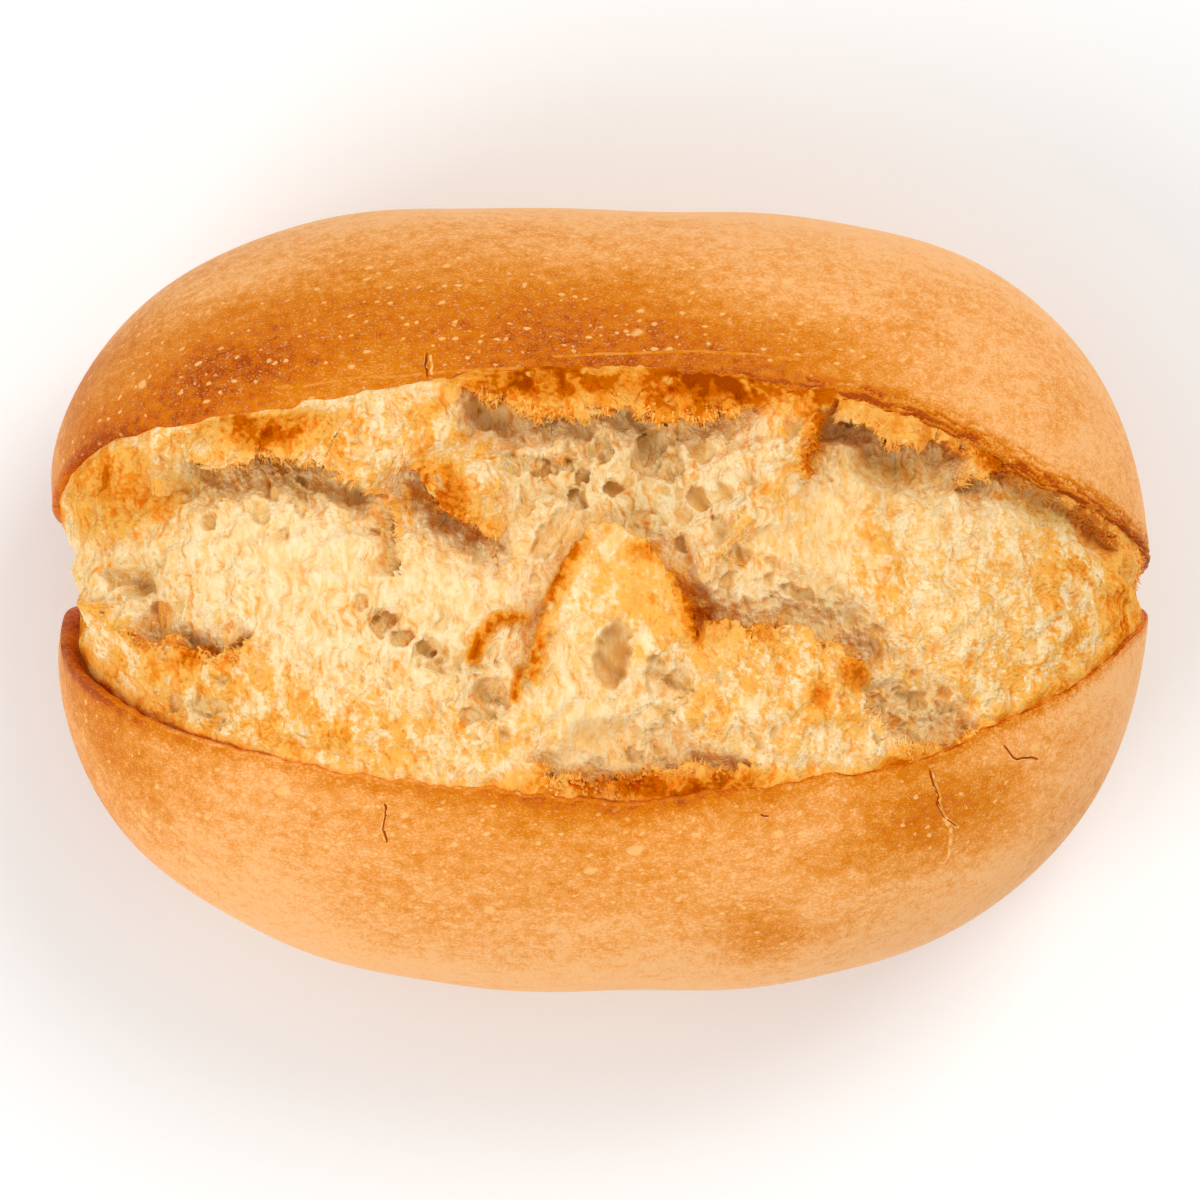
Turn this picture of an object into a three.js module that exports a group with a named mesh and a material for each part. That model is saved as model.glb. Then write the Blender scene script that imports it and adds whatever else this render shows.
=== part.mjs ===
// A cut bread roll: an oval wheat roll that was slashed along its top before baking and burst open, end to
// end, in the oven. Two smooth crust lobes lie either side of a torn bed of crumb. The whole roll is one
// solid.
//
// Frame, in millimetres: +X along the roll, +Y towards the back lobe, +Z up. The origin is the middle of the
// flat sole, so the roll stands on z = 0.
//
// The surface is a mesh of meridians that run from one nose of the roll to the other. Each meridian is a
// direction from the heart of the roll, so the outer form is one closed formula. Between the two lips the
// surface is the crumb, which is carried in or out by its tears, hollows, mounds and strands.
import * as THREE from "three";
import { ParametricGeometry } from "three/addons/geometries/ParametricGeometry.js";
import { mergeVertices } from "three/addons/utils/BufferGeometryUtils.js";

// Driving dimensions of the baked form.
const HALF_LENGTH = 54.5;
const HALF_WIDTH = 39.3;
const HEIGHT = 50.5; // of the crust; the torn crumb stands a little higher
const WAIST_HEIGHT = 21; // height of the widest line above the sole
const SOLE_DEPTH = 25; // the underside's form, which the tray cuts off flat at z = 0
const SOLE_ROUNDING = 2; // softness of the edge where the underside meets the tray

// Exponents of the rounded outlines: 2 is an ellipse, and more is squarer.
const PLAN_POWER = { back: 2.9, front: 2.4 };
const SIDE_POWER = { top: 2.25, under: 2.6 };

// Bulges of the hand-shaped outline: a direction from the middle and a width, in degrees, and a height. They
// fade in over shares of the way from the middle of the roll to its outline.
const BULGES = [
  { toward: 158, width: 22, height: 0.9 },
  { toward: 45, width: 36, height: -0.6 },
  { toward: 232, width: 32, height: -0.7 },
  { toward: 297, width: 16, height: 0.5 },
];
const BULGE_FADE = { from: 0.5, to: 0.9 };

// Slow waves of the surface: how much of the unevenness each one takes, its turn for each millimetre along
// the three axes, and its phase.
const UNEVENNESS = 0.6;
const WAVES = [
  { share: 0.45, turns: [0.115, 0.09, 0], phase: 1.2 },
  { share: 0.35, turns: [0.07, 0.19, -0.13], phase: 0 },
  { share: 0.2, turns: [0.31, 0, -0.22], phase: 2.1 },
];

// The ends of the cleft lie low on the noses, this far below the waist for each unit of length.
const NOSE_DROP = 0.3;

// Lip angles about the roll's length, from the back (0) over the top (90) to the front (180), in degrees,
// at stations LIP_STEP apart from the left nose to the right one.
const LIP_STEP = 15;
const BACK_LIP = [0, 56, 58.5, 59.5, 56.5, 54, 53, 54.2, 56.5, 61, 71, 74, 70];
const FRONT_LIP = [84, 103, 116, 122, 126, 127.5, 130, 128.5, 126, 122, 112, 98, 88];

// How far the crumb drops away inside each lip at those stations, and how far it runs back under the crust.
const BACK_WALL = [0.5, 0.7, 0.4, 0, -0.2, -0.4, -0.4, -0.4, -0.2, 0.2, 0.5, 0.8, 0.5];
const FRONT_WALL = [0.5, 1.8, 1.6, 0.8, 0.3, 0.3, 0.8, 0.6, 0.2, 0.2, 0.4, 0.6, 0.5];
const WALL = { from: 1.2, reach: 2, undercut: 0.5, undercutFrom: 1.6, undercutReach: 1.1 };
const LIP_CURL = { height: 0.35, reach: 12 }; // the crust turns up a little along the cleft

// The crumb lies a little below the form, and deeper in the notch at each nose. At the left nose the lips are
// also drawn in, over a reach in degrees.
const CRUMB_SINK = 0.5;
const NOSE_NOTCH = { left: 3.2, right: 0.9, from: 62, to: 80 };
const NOSE_TUCK = { depth: 2.6, reach: 13 };
const POLE_CALM = { from: 2, to: 12 }; // degrees from each end in which the crumb's relief dies away

// The skeleton that the crumb is carried towards: a level line inside the roll.
const SKELETON = { halfLength: 30, height: 15, spread: 0.35 };

// Tears: ragged edges of lifted crumb. The lifted side is on the left of each edge's direction. lift and
// drop are the heights of the two sides, reach and hollow their widths, and hang is the overhang.
const TEAR_SOFTNESS = 1.5; // half the width of the step at an edge
const TEAR_FADE = 0.12; // share of an edge in which it dies away at each end
const HANG_REACH = { times: 2, more: 0.5 }; // how far an overhang carries the crumb behind it along
const TEARS = [
  {
    name: "shelf",
    edge: [[-41, 11.5], [-37.5, 10], [-32.5, 11], [-27, 10.5], [-24.5, 9], [-20, 6.5]],
    lift: 1.6, drop: 3.6, reach: 5, hollow: 3.6, hang: 1,
  },
  {
    name: "shelf_point",
    edge: [[-19, 12], [-17, 8], [-15, 5.5], [-12.5, 4.5], [-10, 3], [-8, 3.5]],
    lift: 2.2, drop: 3.2, reach: 4, hollow: 3, hang: 1,
  },
  {
    name: "slope_edge",
    edge: [[-20.5, 7.5], [-19.5, 3.5], [-19.5, 0]],
    lift: 0.9, drop: 1.3, reach: 4, hollow: 2.4, hang: 0.2,
  },
  {
    name: "valance",
    edge: [
      [-14.5, 17], [-11, 16.5], [-7.5, 15.5], [-4.5, 14.5], [-1, 15],
      [3, 15.5], [6.5, 14], [10, 14.5], [13.5, 15.5], [17.5, 15.5],
    ],
    lift: 1.2, drop: 3.6, reach: 4, hollow: 4, hang: 1,
  },
  {
    name: "peak",
    edge: [[20, 8.5], [21, 12], [22, 14], [21.5, 16.5]],
    lift: 1.6, drop: 2, reach: 2.4, hollow: 2.4, hang: 0.5,
  },
  {
    name: "hood",
    edge: [
      [21.6, 16.5], [23.4, 15], [25.8, 13.9], [28.6, 12.8], [31.5, 12.9], [33.4, 11.8], [35.6, 10.9],
    ],
    lift: 1, drop: 4.4, reach: 4, hollow: 4.8, hang: 1.2,
  },
  {
    name: "hood_tip",
    edge: [
      [33.6, 7.7], [36.2, 9.3], [38.2, 10], [41.1, 10], [44.1, 8.6], [47.1, 6.8], [49.8, 4.6], [51.4, 2.6],
    ],
    lift: 0.9, drop: 2.2, reach: 3, hollow: 3, hang: 0.7,
  },
  {
    name: "tongue",
    edge: [
      [10.2, -7], [9.6, -3.5], [7.8, -0.2], [5.6, 2.4], [2.6, 5], [-0.6, 5.4],
      [-2.6, 2.6], [-4.3, -0.6], [-5.6, -4], [-6.5, -7], [-7.5, -11],
    ],
    lift: 2, drop: 2, reach: 2.6, hollow: 2.6, hang: 0.5,
  },
  {
    name: "apron",
    edge: [[27.5, -9.5], [23.5, -6.5], [20.5, -5], [18, -4], [15, -4.5], [11, -3.5], [8.5, -4]],
    lift: 2, drop: 2.2, reach: 3.4, hollow: 2.8, hang: 0.6,
  },
  {
    name: "pocket_rim",
    edge: [[37.5, -13.5], [34.5, -15], [31.5, -15.5], [28, -14.5], [26.5, -13], [25, -9.5]],
    lift: 0.8, drop: 2.4, reach: 2.4, hollow: 3, hang: 0.4,
  },
  {
    name: "front_ridge",
    edge: [[17, -17.3], [10, -17.5], [5.5, -17.5], [3, -18.5], [-1, -19], [-4, -18.5], [-7, -16.5]],
    lift: 1.2, drop: 1.8, reach: 2.4, hollow: 3, hang: 0.6,
  },
  {
    name: "left_flap",
    edge: [[-33, -4], [-35, -6.5], [-36.5, -7], [-38, -6], [-40.5, -5], [-43, -5], [-45.5, -3]],
    lift: 1.4, drop: 2.2, reach: 3, hollow: 2.4, hang: 0.6,
  },
];

// Hollows: soft oval pits, with their centre, half sizes, depth and turn in degrees.
const HOLLOW_SPREAD = 0.8; // of their half sizes
const HOLLOWS = [
  { name: "sponge_wall", at: [2, 9.5], size: [12, 5], depth: 1.6 },
  { name: "valance_cave", at: [-9, 14.5], size: [3.5, 2], depth: 1.6 },
  { name: "sponge_cell_a", at: [5, 12], size: [1.6, 3], depth: 1.4 },
  { name: "sponge_cell_b", at: [-4.5, 9.2], size: [3, 1.6], depth: 1.2 },
  { name: "curl_cell", at: [-10.5, -11.5], size: [2.6, 2.3], depth: 2.2 },
  { name: "slope_cell_a", at: [-15, -7.8], size: [3.2, 1.8], depth: 1.8 },
  { name: "slope_cell_b", at: [-20, -3.8], size: [2.4, 1.8], depth: 1.2 },
  { name: "tongue_foot", at: [6.8, -10], size: [2.6, 2], depth: 2, turn: -20 },
  { name: "bowl", at: [1, -15.5], size: [6, 3.2], depth: 2.4 },
  { name: "bowl_end", at: [6.5, -15.8], size: [3.4, 1.6], depth: 1.2 },
  { name: "pocket", at: [31.8, -11.8], size: [4.6, 3.2], depth: 1.7, turn: -15 },
  { name: "hood_cave", at: [29, 10.6], size: [6, 2.6], depth: 1.4 },
  { name: "hood_end", at: [44, 7], size: [5, 1.8], depth: 1.2, turn: -22 },
  { name: "bubble", at: [22, 5.8], size: [4.2, 4.4], depth: 1.2 },
  { name: "shelf_pit", at: [-43, 9.5], size: [4.5, 2.6], depth: 1.8 },
  { name: "nose_cell_a", at: [-45.5, 0.5], size: [2.4, 2.1], depth: 2.4 },
  { name: "nose_cell_b", at: [-42.5, -2.8], size: [1.7, 1.6], depth: 1.8 },
  { name: "flap_pit_a", at: [-40.5, -12.5], size: [1.2, 1], depth: 0.9 },
  { name: "flap_pit_b", at: [-36.3, -13.3], size: [1.9, 1], depth: 1.2 },
];

// Cells: oval pits with an edge, which rises between shares of their half sizes.
const CELL_EDGE = { from: 0.6, to: 1.3 };
const CELLS = [
  { name: "valance_cave", at: [-10.4, 16.4], size: [2.6, 1.8], depth: 1.4 },
  { name: "valance_c", at: [-5, 15.7], size: [1.3, 1.1], depth: 1 },
  { name: "valance_d", at: [-1.5, 15.4], size: [1.4, 2], depth: 1.2 },
  { name: "valance_f", at: [4.4, 15.7], size: [1.5, 1.3], depth: 1 },
  { name: "wall_b", at: [4.9, 12.6], size: [1.5, 2.3], depth: 1.4 },
  { name: "wall_c", at: [-5.3, 10.9], size: [1.6, 0.9], depth: 1.1 },
  { name: "wall_h", at: [6.8, 11.4], size: [1.4, 1.2], depth: 1 },
  { name: "trough", at: [-4.3, 4.4], size: [3, 1.1], depth: 1, turn: 56 },
  { name: "fold_b", at: [-18.6, -5.6], size: [1.2, 0.8], depth: 1.1 },
  { name: "fold_c", at: [-16.2, -6.6], size: [1.3, 0.9], depth: 1.2, turn: 20 },
  { name: "tongue_eye", at: [1.5, -7.4], size: [1.5, 2.8], depth: 2.1, turn: -8 },
  { name: "curl_a", at: [-10.4, -10.8], size: [1.6, 1.3], depth: 1.3 },
  { name: "foot_a", at: [5.6, -8.6], size: [1, 1.3], depth: 1 },
  { name: "foot_b", at: [7.6, -9.8], size: [1.4, 0.9], depth: 1.2, turn: -20 },
  { name: "flap_b", at: [-37.5, -12], size: [1.8, 0.9], depth: 1 },
  { name: "nose_b", at: [-44.6, 0.2], size: [1.3, 1.1], depth: 1.2 },
  { name: "nose_c", at: [-42.6, -2.6], size: [1.2, 1.2], depth: 1.2 },
  { name: "valley_c", at: [18.8, -1.2], size: [1.6, 0.7], depth: 1, turn: -20 },
  { name: "pocket_a", at: [30.2, -11.6], size: [1.6, 1], depth: 1 },
];

// Mounds: soft ovals, raised.
const MOUND_SPREAD = 0.9; // of their half sizes
const MOUNDS = [
  { name: "right_mass", at: [37, -1.5], size: [12, 10], height: 2.2 },
  { name: "tongue_swell", at: [1, -2.5], size: [6, 6.5], height: 1.6 },
  { name: "slope_swell", at: [-28, -2], size: [12, 8], height: 1.2 },
  { name: "slope_fold", at: [-14, -1.5], size: [5, 6], height: 0.8 },
  { name: "apron_swell", at: [17.5, -11.5], size: [9, 5], height: 1.8 },
  { name: "flap_swell", at: [-30, -13.5], size: [14, 4], height: 1 },
];

// Strands and troughs: rounded lines, raised or sunk.
const LINES = [
  { name: "strand", path: [[21, 12], [17.5, 9.5], [14.5, 6.5], [12, 3], [10.5, 0.5]], width: 2, height: 2 },
  { name: "curl", path: [[-11.8, -7.5], [-11, -5.5], [-9.5, -4], [-7, -4]], width: 1, height: 1.6 },
  { name: "nose_fold", path: [[-50.5, -1], [-47.5, -2.5], [-45.5, -4.5]], width: 1.2, height: 1.4 },
  { name: "bubble_rim", path: [[23, 13], [25.5, 9], [26.5, 5], [28, 0]], width: 0.9, height: 0.9 },
  { name: "valley", path: [[9.5, 7.5], [13.5, 1], [17, -1.5], [23, -4], [29, -9.5]], width: 3, height: -1.8 },
];

// The mesh: stations from nose to nose, with rows across the crumb and round the crust.
const STATIONS = 94;
const CRUMB_ROWS = 33;
const CRUST_ROWS = 28;
const CROWDING = { crumb: 0.4, crust: 0.15 }; // 0 spaces the rows evenly, and 1 crowds them against the lips
const CRAG = { height: 0.45, size: 2.6 }; // the crumb's own roughness

const degrees = THREE.MathUtils.degToRad;
const smoothstep = THREE.MathUtils.smoothstep;
const bell = (distance, width) => Math.exp(-((distance / width) ** 2));
const crowd = (t, crowding) => t - (crowding * Math.sin(2 * Math.PI * t)) / (2 * Math.PI);

/** Value of a list of station values at an angle from -90 to 90 degrees along the roll. */
function atStation(values, along) {
  const place = THREE.MathUtils.clamp((along + 90) / LIP_STEP, 0, values.length - 1);
  const i = Math.min(Math.floor(place), values.length - 2);
  const t = place - i;
  const before = values[Math.max(i - 1, 0)];
  const after = values[Math.min(i + 2, values.length - 1)];
  const [a, b] = [values[i], values[i + 1]];
  // Catmull-Rom, so that a lip is one smooth curve.
  const bend = 2 * before - 5 * a + 4 * b - after + t * (3 * (a - b) + after - before);
  return a + 0.5 * t * (b - before + t * bend);
}

/** Slow, small unevenness of a hand-shaped roll, from -1 to 1. */
function uneven(p) {
  const at = (wave) => wave.turns[0] * p.x + wave.turns[1] * p.y + wave.turns[2] * p.z + wave.phase;
  return WAVES.reduce((total, wave) => total + wave.share * Math.sin(at(wave)), 0);
}

/** How far the sides stand out of the even oval at a point, in millimetres. */
function bulge(p) {
  const toward = THREE.MathUtils.radToDeg(Math.atan2(p.y, p.x));
  const out = Math.hypot(p.x / HALF_LENGTH, p.y / HALF_WIDTH);
  const turn = (from) => THREE.MathUtils.euclideanModulo(toward - from + 180, 360) - 180;
  const height = BULGES.reduce((total, one) => total + one.height * bell(turn(one.toward), one.width), 0);
  return height * smoothstep(out, BULGE_FADE.from, BULGE_FADE.to);
}

/** Point of the uncut form in the direction given by the angles along the roll and round it. */
function formPoint(along, round, target) {
  const [a, r] = [degrees(along), degrees(round)];
  const drop = NOSE_DROP * (1 - Math.cos(a));
  target.set(Math.sin(a), Math.cos(r) * Math.cos(a), Math.sin(r) * Math.cos(a) - drop);
  const plan = target.y > 0 ? PLAN_POWER.back : PLAN_POWER.front;
  const side = target.z > 0 ? SIDE_POWER.top : SIDE_POWER.under;
  const rise = target.z > 0 ? HEIGHT - WAIST_HEIGHT : SOLE_DEPTH;
  const [u, v] = [Math.abs(target.x / HALF_LENGTH), Math.abs(target.y / HALF_WIDTH)];
  const outline = (u ** plan + v ** plan) ** (1 / plan);
  target.multiplyScalar((outline ** side + Math.abs(target.z / rise) ** side) ** (-1 / side));
  target.z += WAIST_HEIGHT;
  return target;
}

/** Height of the form once it rests on the tray: flat at 0, with a soft edge. */
function restOnTray(z) {
  const t = THREE.MathUtils.clamp((z + SOLE_ROUNDING) / (2 * SOLE_ROUNDING), 0, 1);
  return z >= SOLE_ROUNDING ? z : SOLE_ROUNDING * t * t;
}

/** Outward direction at a point, from the roll's inner skeleton line. */
function outward(p, target) {
  const x = THREE.MathUtils.clamp(p.x, -SKELETON.halfLength, SKELETON.halfLength);
  return target.set(p.x - x, SKELETON.spread * p.y, p.z - SKELETON.height).normalize();
}

/**
 * Nearest point of a path: the distance to it, signed + on its left, the way to its left, and the share of
 * the path passed.
 */
function nearestOn(path, x, y) {
  let best = { distance: Infinity };
  path.slice(1).forEach(([bx, by], i) => {
    const [ax, ay] = path[i];
    const [dx, dy] = [bx - ax, by - ay];
    const length = Math.hypot(dx, dy);
    const t = THREE.MathUtils.clamp(((x - ax) * dx + (y - ay) * dy) / length ** 2, 0, 1);
    const distance = Math.hypot(x - ax - t * dx, y - ay - t * dy);
    if (distance < best.distance) {
      const side = dx * (y - ay) - dy * (x - ax) >= 0 ? 1 : -1;
      const share = (i + t) / (path.length - 1);
      best = { distance, signed: side * distance, left: [-dy / length, dx / length], share };
    }
  });
  return best;
}

/** Distance from an oval's centre, in its own half sizes. */
function ovalDistance(oval, x, y) {
  const turn = degrees(oval.turn ?? 0);
  const [dx, dy] = [x - oval.at[0], y - oval.at[1]];
  const u = (dx * Math.cos(turn) + dy * Math.sin(turn)) / oval.size[0];
  const v = (dy * Math.cos(turn) - dx * Math.sin(turn)) / oval.size[1];
  return Math.hypot(u, v);
}

/** Height of the crumb's own small crags. */
function crags(x, y) {
  const [a, b] = [x / CRAG.size, y / CRAG.size];
  const along = Math.sin(2.3 * a + 1.7 * Math.sin(1.9 * b));
  const across = Math.cos(2.6 * b + 1.3 * Math.sin(2.1 * a));
  return CRAG.height * along * across;
}

/** Relief of the torn crumb above the plan point x, y: how far out it stands, and its sideways overhang. */
function crumbRelief(x, y) {
  const relief = { out: crags(x, y) - CRUMB_SINK, shift: [0, 0] };
  for (const tear of TEARS) {
    const near = nearestOn(tear.edge, x, y);
    const fade = smoothstep(near.share, 0, TEAR_FADE) * smoothstep(1 - near.share, 0, TEAR_FADE);
    const s = near.signed - tear.hang;
    const lifted = smoothstep(s, -TEAR_SOFTNESS, TEAR_SOFTNESS);
    relief.out += fade * lifted * tear.lift * bell(s, tear.reach);
    relief.out -= fade * (1 - lifted) * tear.drop * bell(s, tear.hollow);
    const hang = fade * lifted * tear.hang * bell(s, HANG_REACH.times * tear.hang + HANG_REACH.more);
    relief.shift[0] -= hang * near.left[0];
    relief.shift[1] -= hang * near.left[1];
  }
  for (const hollow of HOLLOWS) relief.out -= hollow.depth * bell(ovalDistance(hollow, x, y), HOLLOW_SPREAD);
  for (const mound of MOUNDS) relief.out += mound.height * bell(ovalDistance(mound, x, y), MOUND_SPREAD);
  for (const line of LINES) relief.out += line.height * bell(nearestOn(line.path, x, y).distance, line.width);
  const pit = (cell) => cell.depth * (1 - smoothstep(ovalDistance(cell, x, y), CELL_EDGE.from, CELL_EDGE.to));
  relief.out -= Math.max(...CELLS.map(pit));
  return relief;
}

/** Share of the way into a nose, by the angle from the middle of the roll. */
const intoNose = (along) => smoothstep(along, NOSE_NOTCH.from, NOSE_NOTCH.to);

/** Point of the crust, which turns up towards the lips. distance is in degrees from the nearer lip. */
function crustPoint(along, round, distance, target) {
  formPoint(along, round, target);
  const out = outward(target, new THREE.Vector3());
  const curl = LIP_CURL.height * bell(distance, LIP_CURL.reach) * Math.cos(degrees(along));
  const tuck = NOSE_TUCK.depth * bell(distance, NOSE_TUCK.reach) * intoNose(-along);
  const sides = (UNEVENNESS * uneven(target) + bulge(target)) * smoothstep(target.z, 0, WAIST_HEIGHT);
  target.addScaledVector(out, curl - tuck + sides);
  target.z = restOnTray(target.z);
  return target;
}

/** Point of the crumb, a share t of the way from the back lip to the front one. */
function crumbPoint(along, t, target) {
  const [back, front] = [atStation(BACK_LIP, along), atStation(FRONT_LIP, along)];
  crustPoint(along, back + (front - back) * t, (front - back) * Math.min(t, 1 - t), target);
  const radius = Math.hypot(target.y, target.z - WAIST_HEIGHT);
  const fromLip = degrees(front - back) * radius * Math.min(t, 1 - t);
  const wall = atStation(t < 0.5 ? BACK_WALL : FRONT_WALL, along);
  const relief = crumbRelief(target.x, target.y);
  const notch = (along < 0 ? NOSE_NOTCH.left : NOSE_NOTCH.right) * intoNose(Math.abs(along));
  const calm = smoothstep(90 - Math.abs(along), POLE_CALM.from, POLE_CALM.to);
  const inside = calm * smoothstep(fromLip, 0, WALL.from);
  const out = relief.out - notch - wall * bell(fromLip - WALL.from, WALL.reach);
  const under = WALL.undercut * Math.max(wall, 0) * bell(fromLip - WALL.undercutFrom, WALL.undercutReach);
  target.addScaledVector(outward(target, new THREE.Vector3()), inside * out);
  target.x += inside * relief.shift[0];
  target.y += inside * (relief.shift[1] + under * (t < 0.5 ? 1 : -1));
  return target;
}

/** Angles of the stations, spaced evenly along the top of the roll. */
function stationAngles() {
  const fine = 720;
  const lengths = [0];
  const [here, last] = [new THREE.Vector3(), formPoint(-90, 90, new THREE.Vector3())];
  for (let i = 1; i <= fine; i++) {
    formPoint(-90 + (180 * i) / fine, 90, here);
    lengths.push(lengths[i - 1] + here.distanceTo(last));
    last.copy(here);
  }
  return Array.from({ length: STATIONS + 1 }, (_, k) => {
    const wanted = (lengths[fine] * k) / STATIONS;
    const i = Math.min(lengths.findIndex((length, j) => j > 0 && length >= wanted - 1e-9), fine);
    const t = (wanted - lengths[i - 1]) / (lengths[i] - lengths[i - 1]);
    return -90 + (180 * (i - 1 + t)) / fine;
  });
}

/** Closed surface of the roll as one geometry, without the doubled seam and pole vertices. */
function rollGeometry() {
  const angles = stationAngles();
  const rows = CRUMB_ROWS + CRUST_ROWS;
  const surface = (u, v, target) => {
    const along = angles[Math.round(v * STATIONS)];
    const row = Math.round(u * rows) % rows;
    if (row < CRUMB_ROWS) return crumbPoint(along, crowd(row / CRUMB_ROWS, CROWDING.crumb), target);
    const t = crowd((row - CRUMB_ROWS) / CRUST_ROWS, CROWDING.crust);
    const [back, front] = [atStation(BACK_LIP, along), atStation(FRONT_LIP, along)];
    const sweep = 360 - (front - back);
    return crustPoint(along, front + sweep * t, sweep * Math.min(t, 1 - t), target);
  };
  const grid = new ParametricGeometry(surface, rows, STATIONS);
  grid.deleteAttribute("normal");
  grid.deleteAttribute("uv");
  const merged = mergeVertices(grid, 1e-3);
  const kept = [];
  const index = merged.index.array;
  for (let i = 0; i < index.length; i += 3) {
    const [a, b, c] = [index[i], index[i + 1], index[i + 2]];
    if (a !== b && b !== c && c !== a) kept.push(a, b, c);
  }
  merged.setIndex(kept);
  merged.computeVertexNormals();
  return merged;
}

const bakedCrust = new THREE.MeshStandardMaterial({ color: 0xdb8f3d, roughness: 0.5, metalness: 0 });

const roll = new THREE.Mesh(rollGeometry(), bakedCrust);
roll.name = "roll";

const breadRoll = new THREE.Group();
breadRoll.add(roll);

export default breadRoll;
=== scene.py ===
"""A cut bread roll: an oval wheat roll that was slashed along its top and burst open in the oven.

The roll is built from a crust body with a cleft along its top, a bed of torn crumb that fills the cleft,
loose shreds of crumb on the torn edges, and hairline cracks and creases in the crust. Lengths are in
millimetres until a mesh is made, and every mesh is in metres. +X runs along the roll, +Y towards the back
lobe and +Z up from the sole.
"""
import logging
import math
from dataclasses import dataclass, field
from enum import Enum

import bmesh
import bpy
import numpy as np
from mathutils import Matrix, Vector
from mathutils.geometry import tessellate_polygon


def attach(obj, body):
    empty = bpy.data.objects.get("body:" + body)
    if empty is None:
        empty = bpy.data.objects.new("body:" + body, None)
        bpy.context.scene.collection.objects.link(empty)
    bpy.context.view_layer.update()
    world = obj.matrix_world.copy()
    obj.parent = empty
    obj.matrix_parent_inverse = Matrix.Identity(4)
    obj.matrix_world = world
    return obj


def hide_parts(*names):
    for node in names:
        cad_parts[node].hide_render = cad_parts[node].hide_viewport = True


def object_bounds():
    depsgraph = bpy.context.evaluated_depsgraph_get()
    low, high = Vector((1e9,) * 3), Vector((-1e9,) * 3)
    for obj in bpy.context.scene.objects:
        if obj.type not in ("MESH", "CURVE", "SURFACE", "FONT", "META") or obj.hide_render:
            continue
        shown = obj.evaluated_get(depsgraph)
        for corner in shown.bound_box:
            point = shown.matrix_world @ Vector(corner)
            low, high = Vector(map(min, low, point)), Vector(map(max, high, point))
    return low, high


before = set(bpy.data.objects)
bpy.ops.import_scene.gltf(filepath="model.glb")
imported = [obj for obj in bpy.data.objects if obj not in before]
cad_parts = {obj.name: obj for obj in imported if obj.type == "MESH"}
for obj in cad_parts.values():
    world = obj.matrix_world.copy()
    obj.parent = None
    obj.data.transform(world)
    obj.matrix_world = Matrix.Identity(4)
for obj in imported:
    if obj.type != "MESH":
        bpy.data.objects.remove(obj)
CAD_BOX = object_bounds()

MM = 0.001
NODE = "roll"
BODY = "root"
DEGREES_PER_RADIAN = 57.3
NOSE = 90.0

Array = np.ndarray
Point = tuple[float, float]
Triple = tuple[float, float, float]
Path = tuple[Point, ...]

log = logging.getLogger("bread_roll")


# ----------------------------------------------------------------------------------------------------
# Small numeric tools
# ----------------------------------------------------------------------------------------------------


def smooth_step(value: Array, low: float, high: float) -> Array:
    """Rise smoothly from 0 at low to 1 at high.

    Args:
        value: the numbers to map.
        low: where the rise starts.
        high: where it ends.

    Returns:
        Numbers from 0 to 1.
    """
    t = np.clip((value - low) / (high - low), 0.0, 1.0)
    return t * t * (3.0 - 2.0 * t)


def bell(distance: Array, width: float) -> Array:
    """Return a bell curve that is 1 at no distance and falls away over width."""
    return np.exp(-((distance / width) ** 2))


def crowded(count: int, crowding: float, closed: bool = True) -> Array:
    """Space shares from 0 to 1, closer together towards both ends.

    Args:
        count: how many steps there are.
        crowding: 0 for even steps, towards 1 for steps that shrink at the ends.
        closed: whether the last share, 1, is included.

    Returns:
        The shares, in order.
    """
    t = np.arange(count + 1 if closed else count) / count
    return t - crowding * np.sin(2 * np.pi * t) / (2 * np.pi)


class Grain:
    """Seeded smooth noise on a lattice, from -1 to 1."""

    SIZE = 4096
    STRIDES = (73856093, 19349663, 83492791)

    def __init__(self, seed: int) -> None:
        """Fill the lattice's table from the seed."""
        self.table = np.random.default_rng(seed).uniform(-1.0, 1.0, self.SIZE)

    def __call__(self, *coords: Array) -> Array:
        """Read the noise at points.

        Args:
            coords: one array for each axis, in lattice steps.

        Returns:
            The noise at each point.
        """
        low = [np.floor(c) for c in coords]
        part = [c - f for c, f in zip(coords, low)]
        part = [t * t * t * (t * (6 * t - 15) + 10) for t in part]
        total = np.zeros(np.broadcast(*coords).shape)
        for corner in range(2 ** len(coords)):
            key = np.zeros(total.shape, dtype=np.int64)
            weight = np.ones(total.shape)
            for axis, (f, t) in enumerate(zip(low, part)):
                step = (corner >> axis) & 1
                key = key ^ ((f.astype(np.int64) + step) * self.STRIDES[axis])
                weight = weight * (t if step else 1.0 - t)
            total += weight * self.table[key % self.SIZE]
        return total


# ----------------------------------------------------------------------------------------------------
# Form of the baked roll
# ----------------------------------------------------------------------------------------------------


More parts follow.
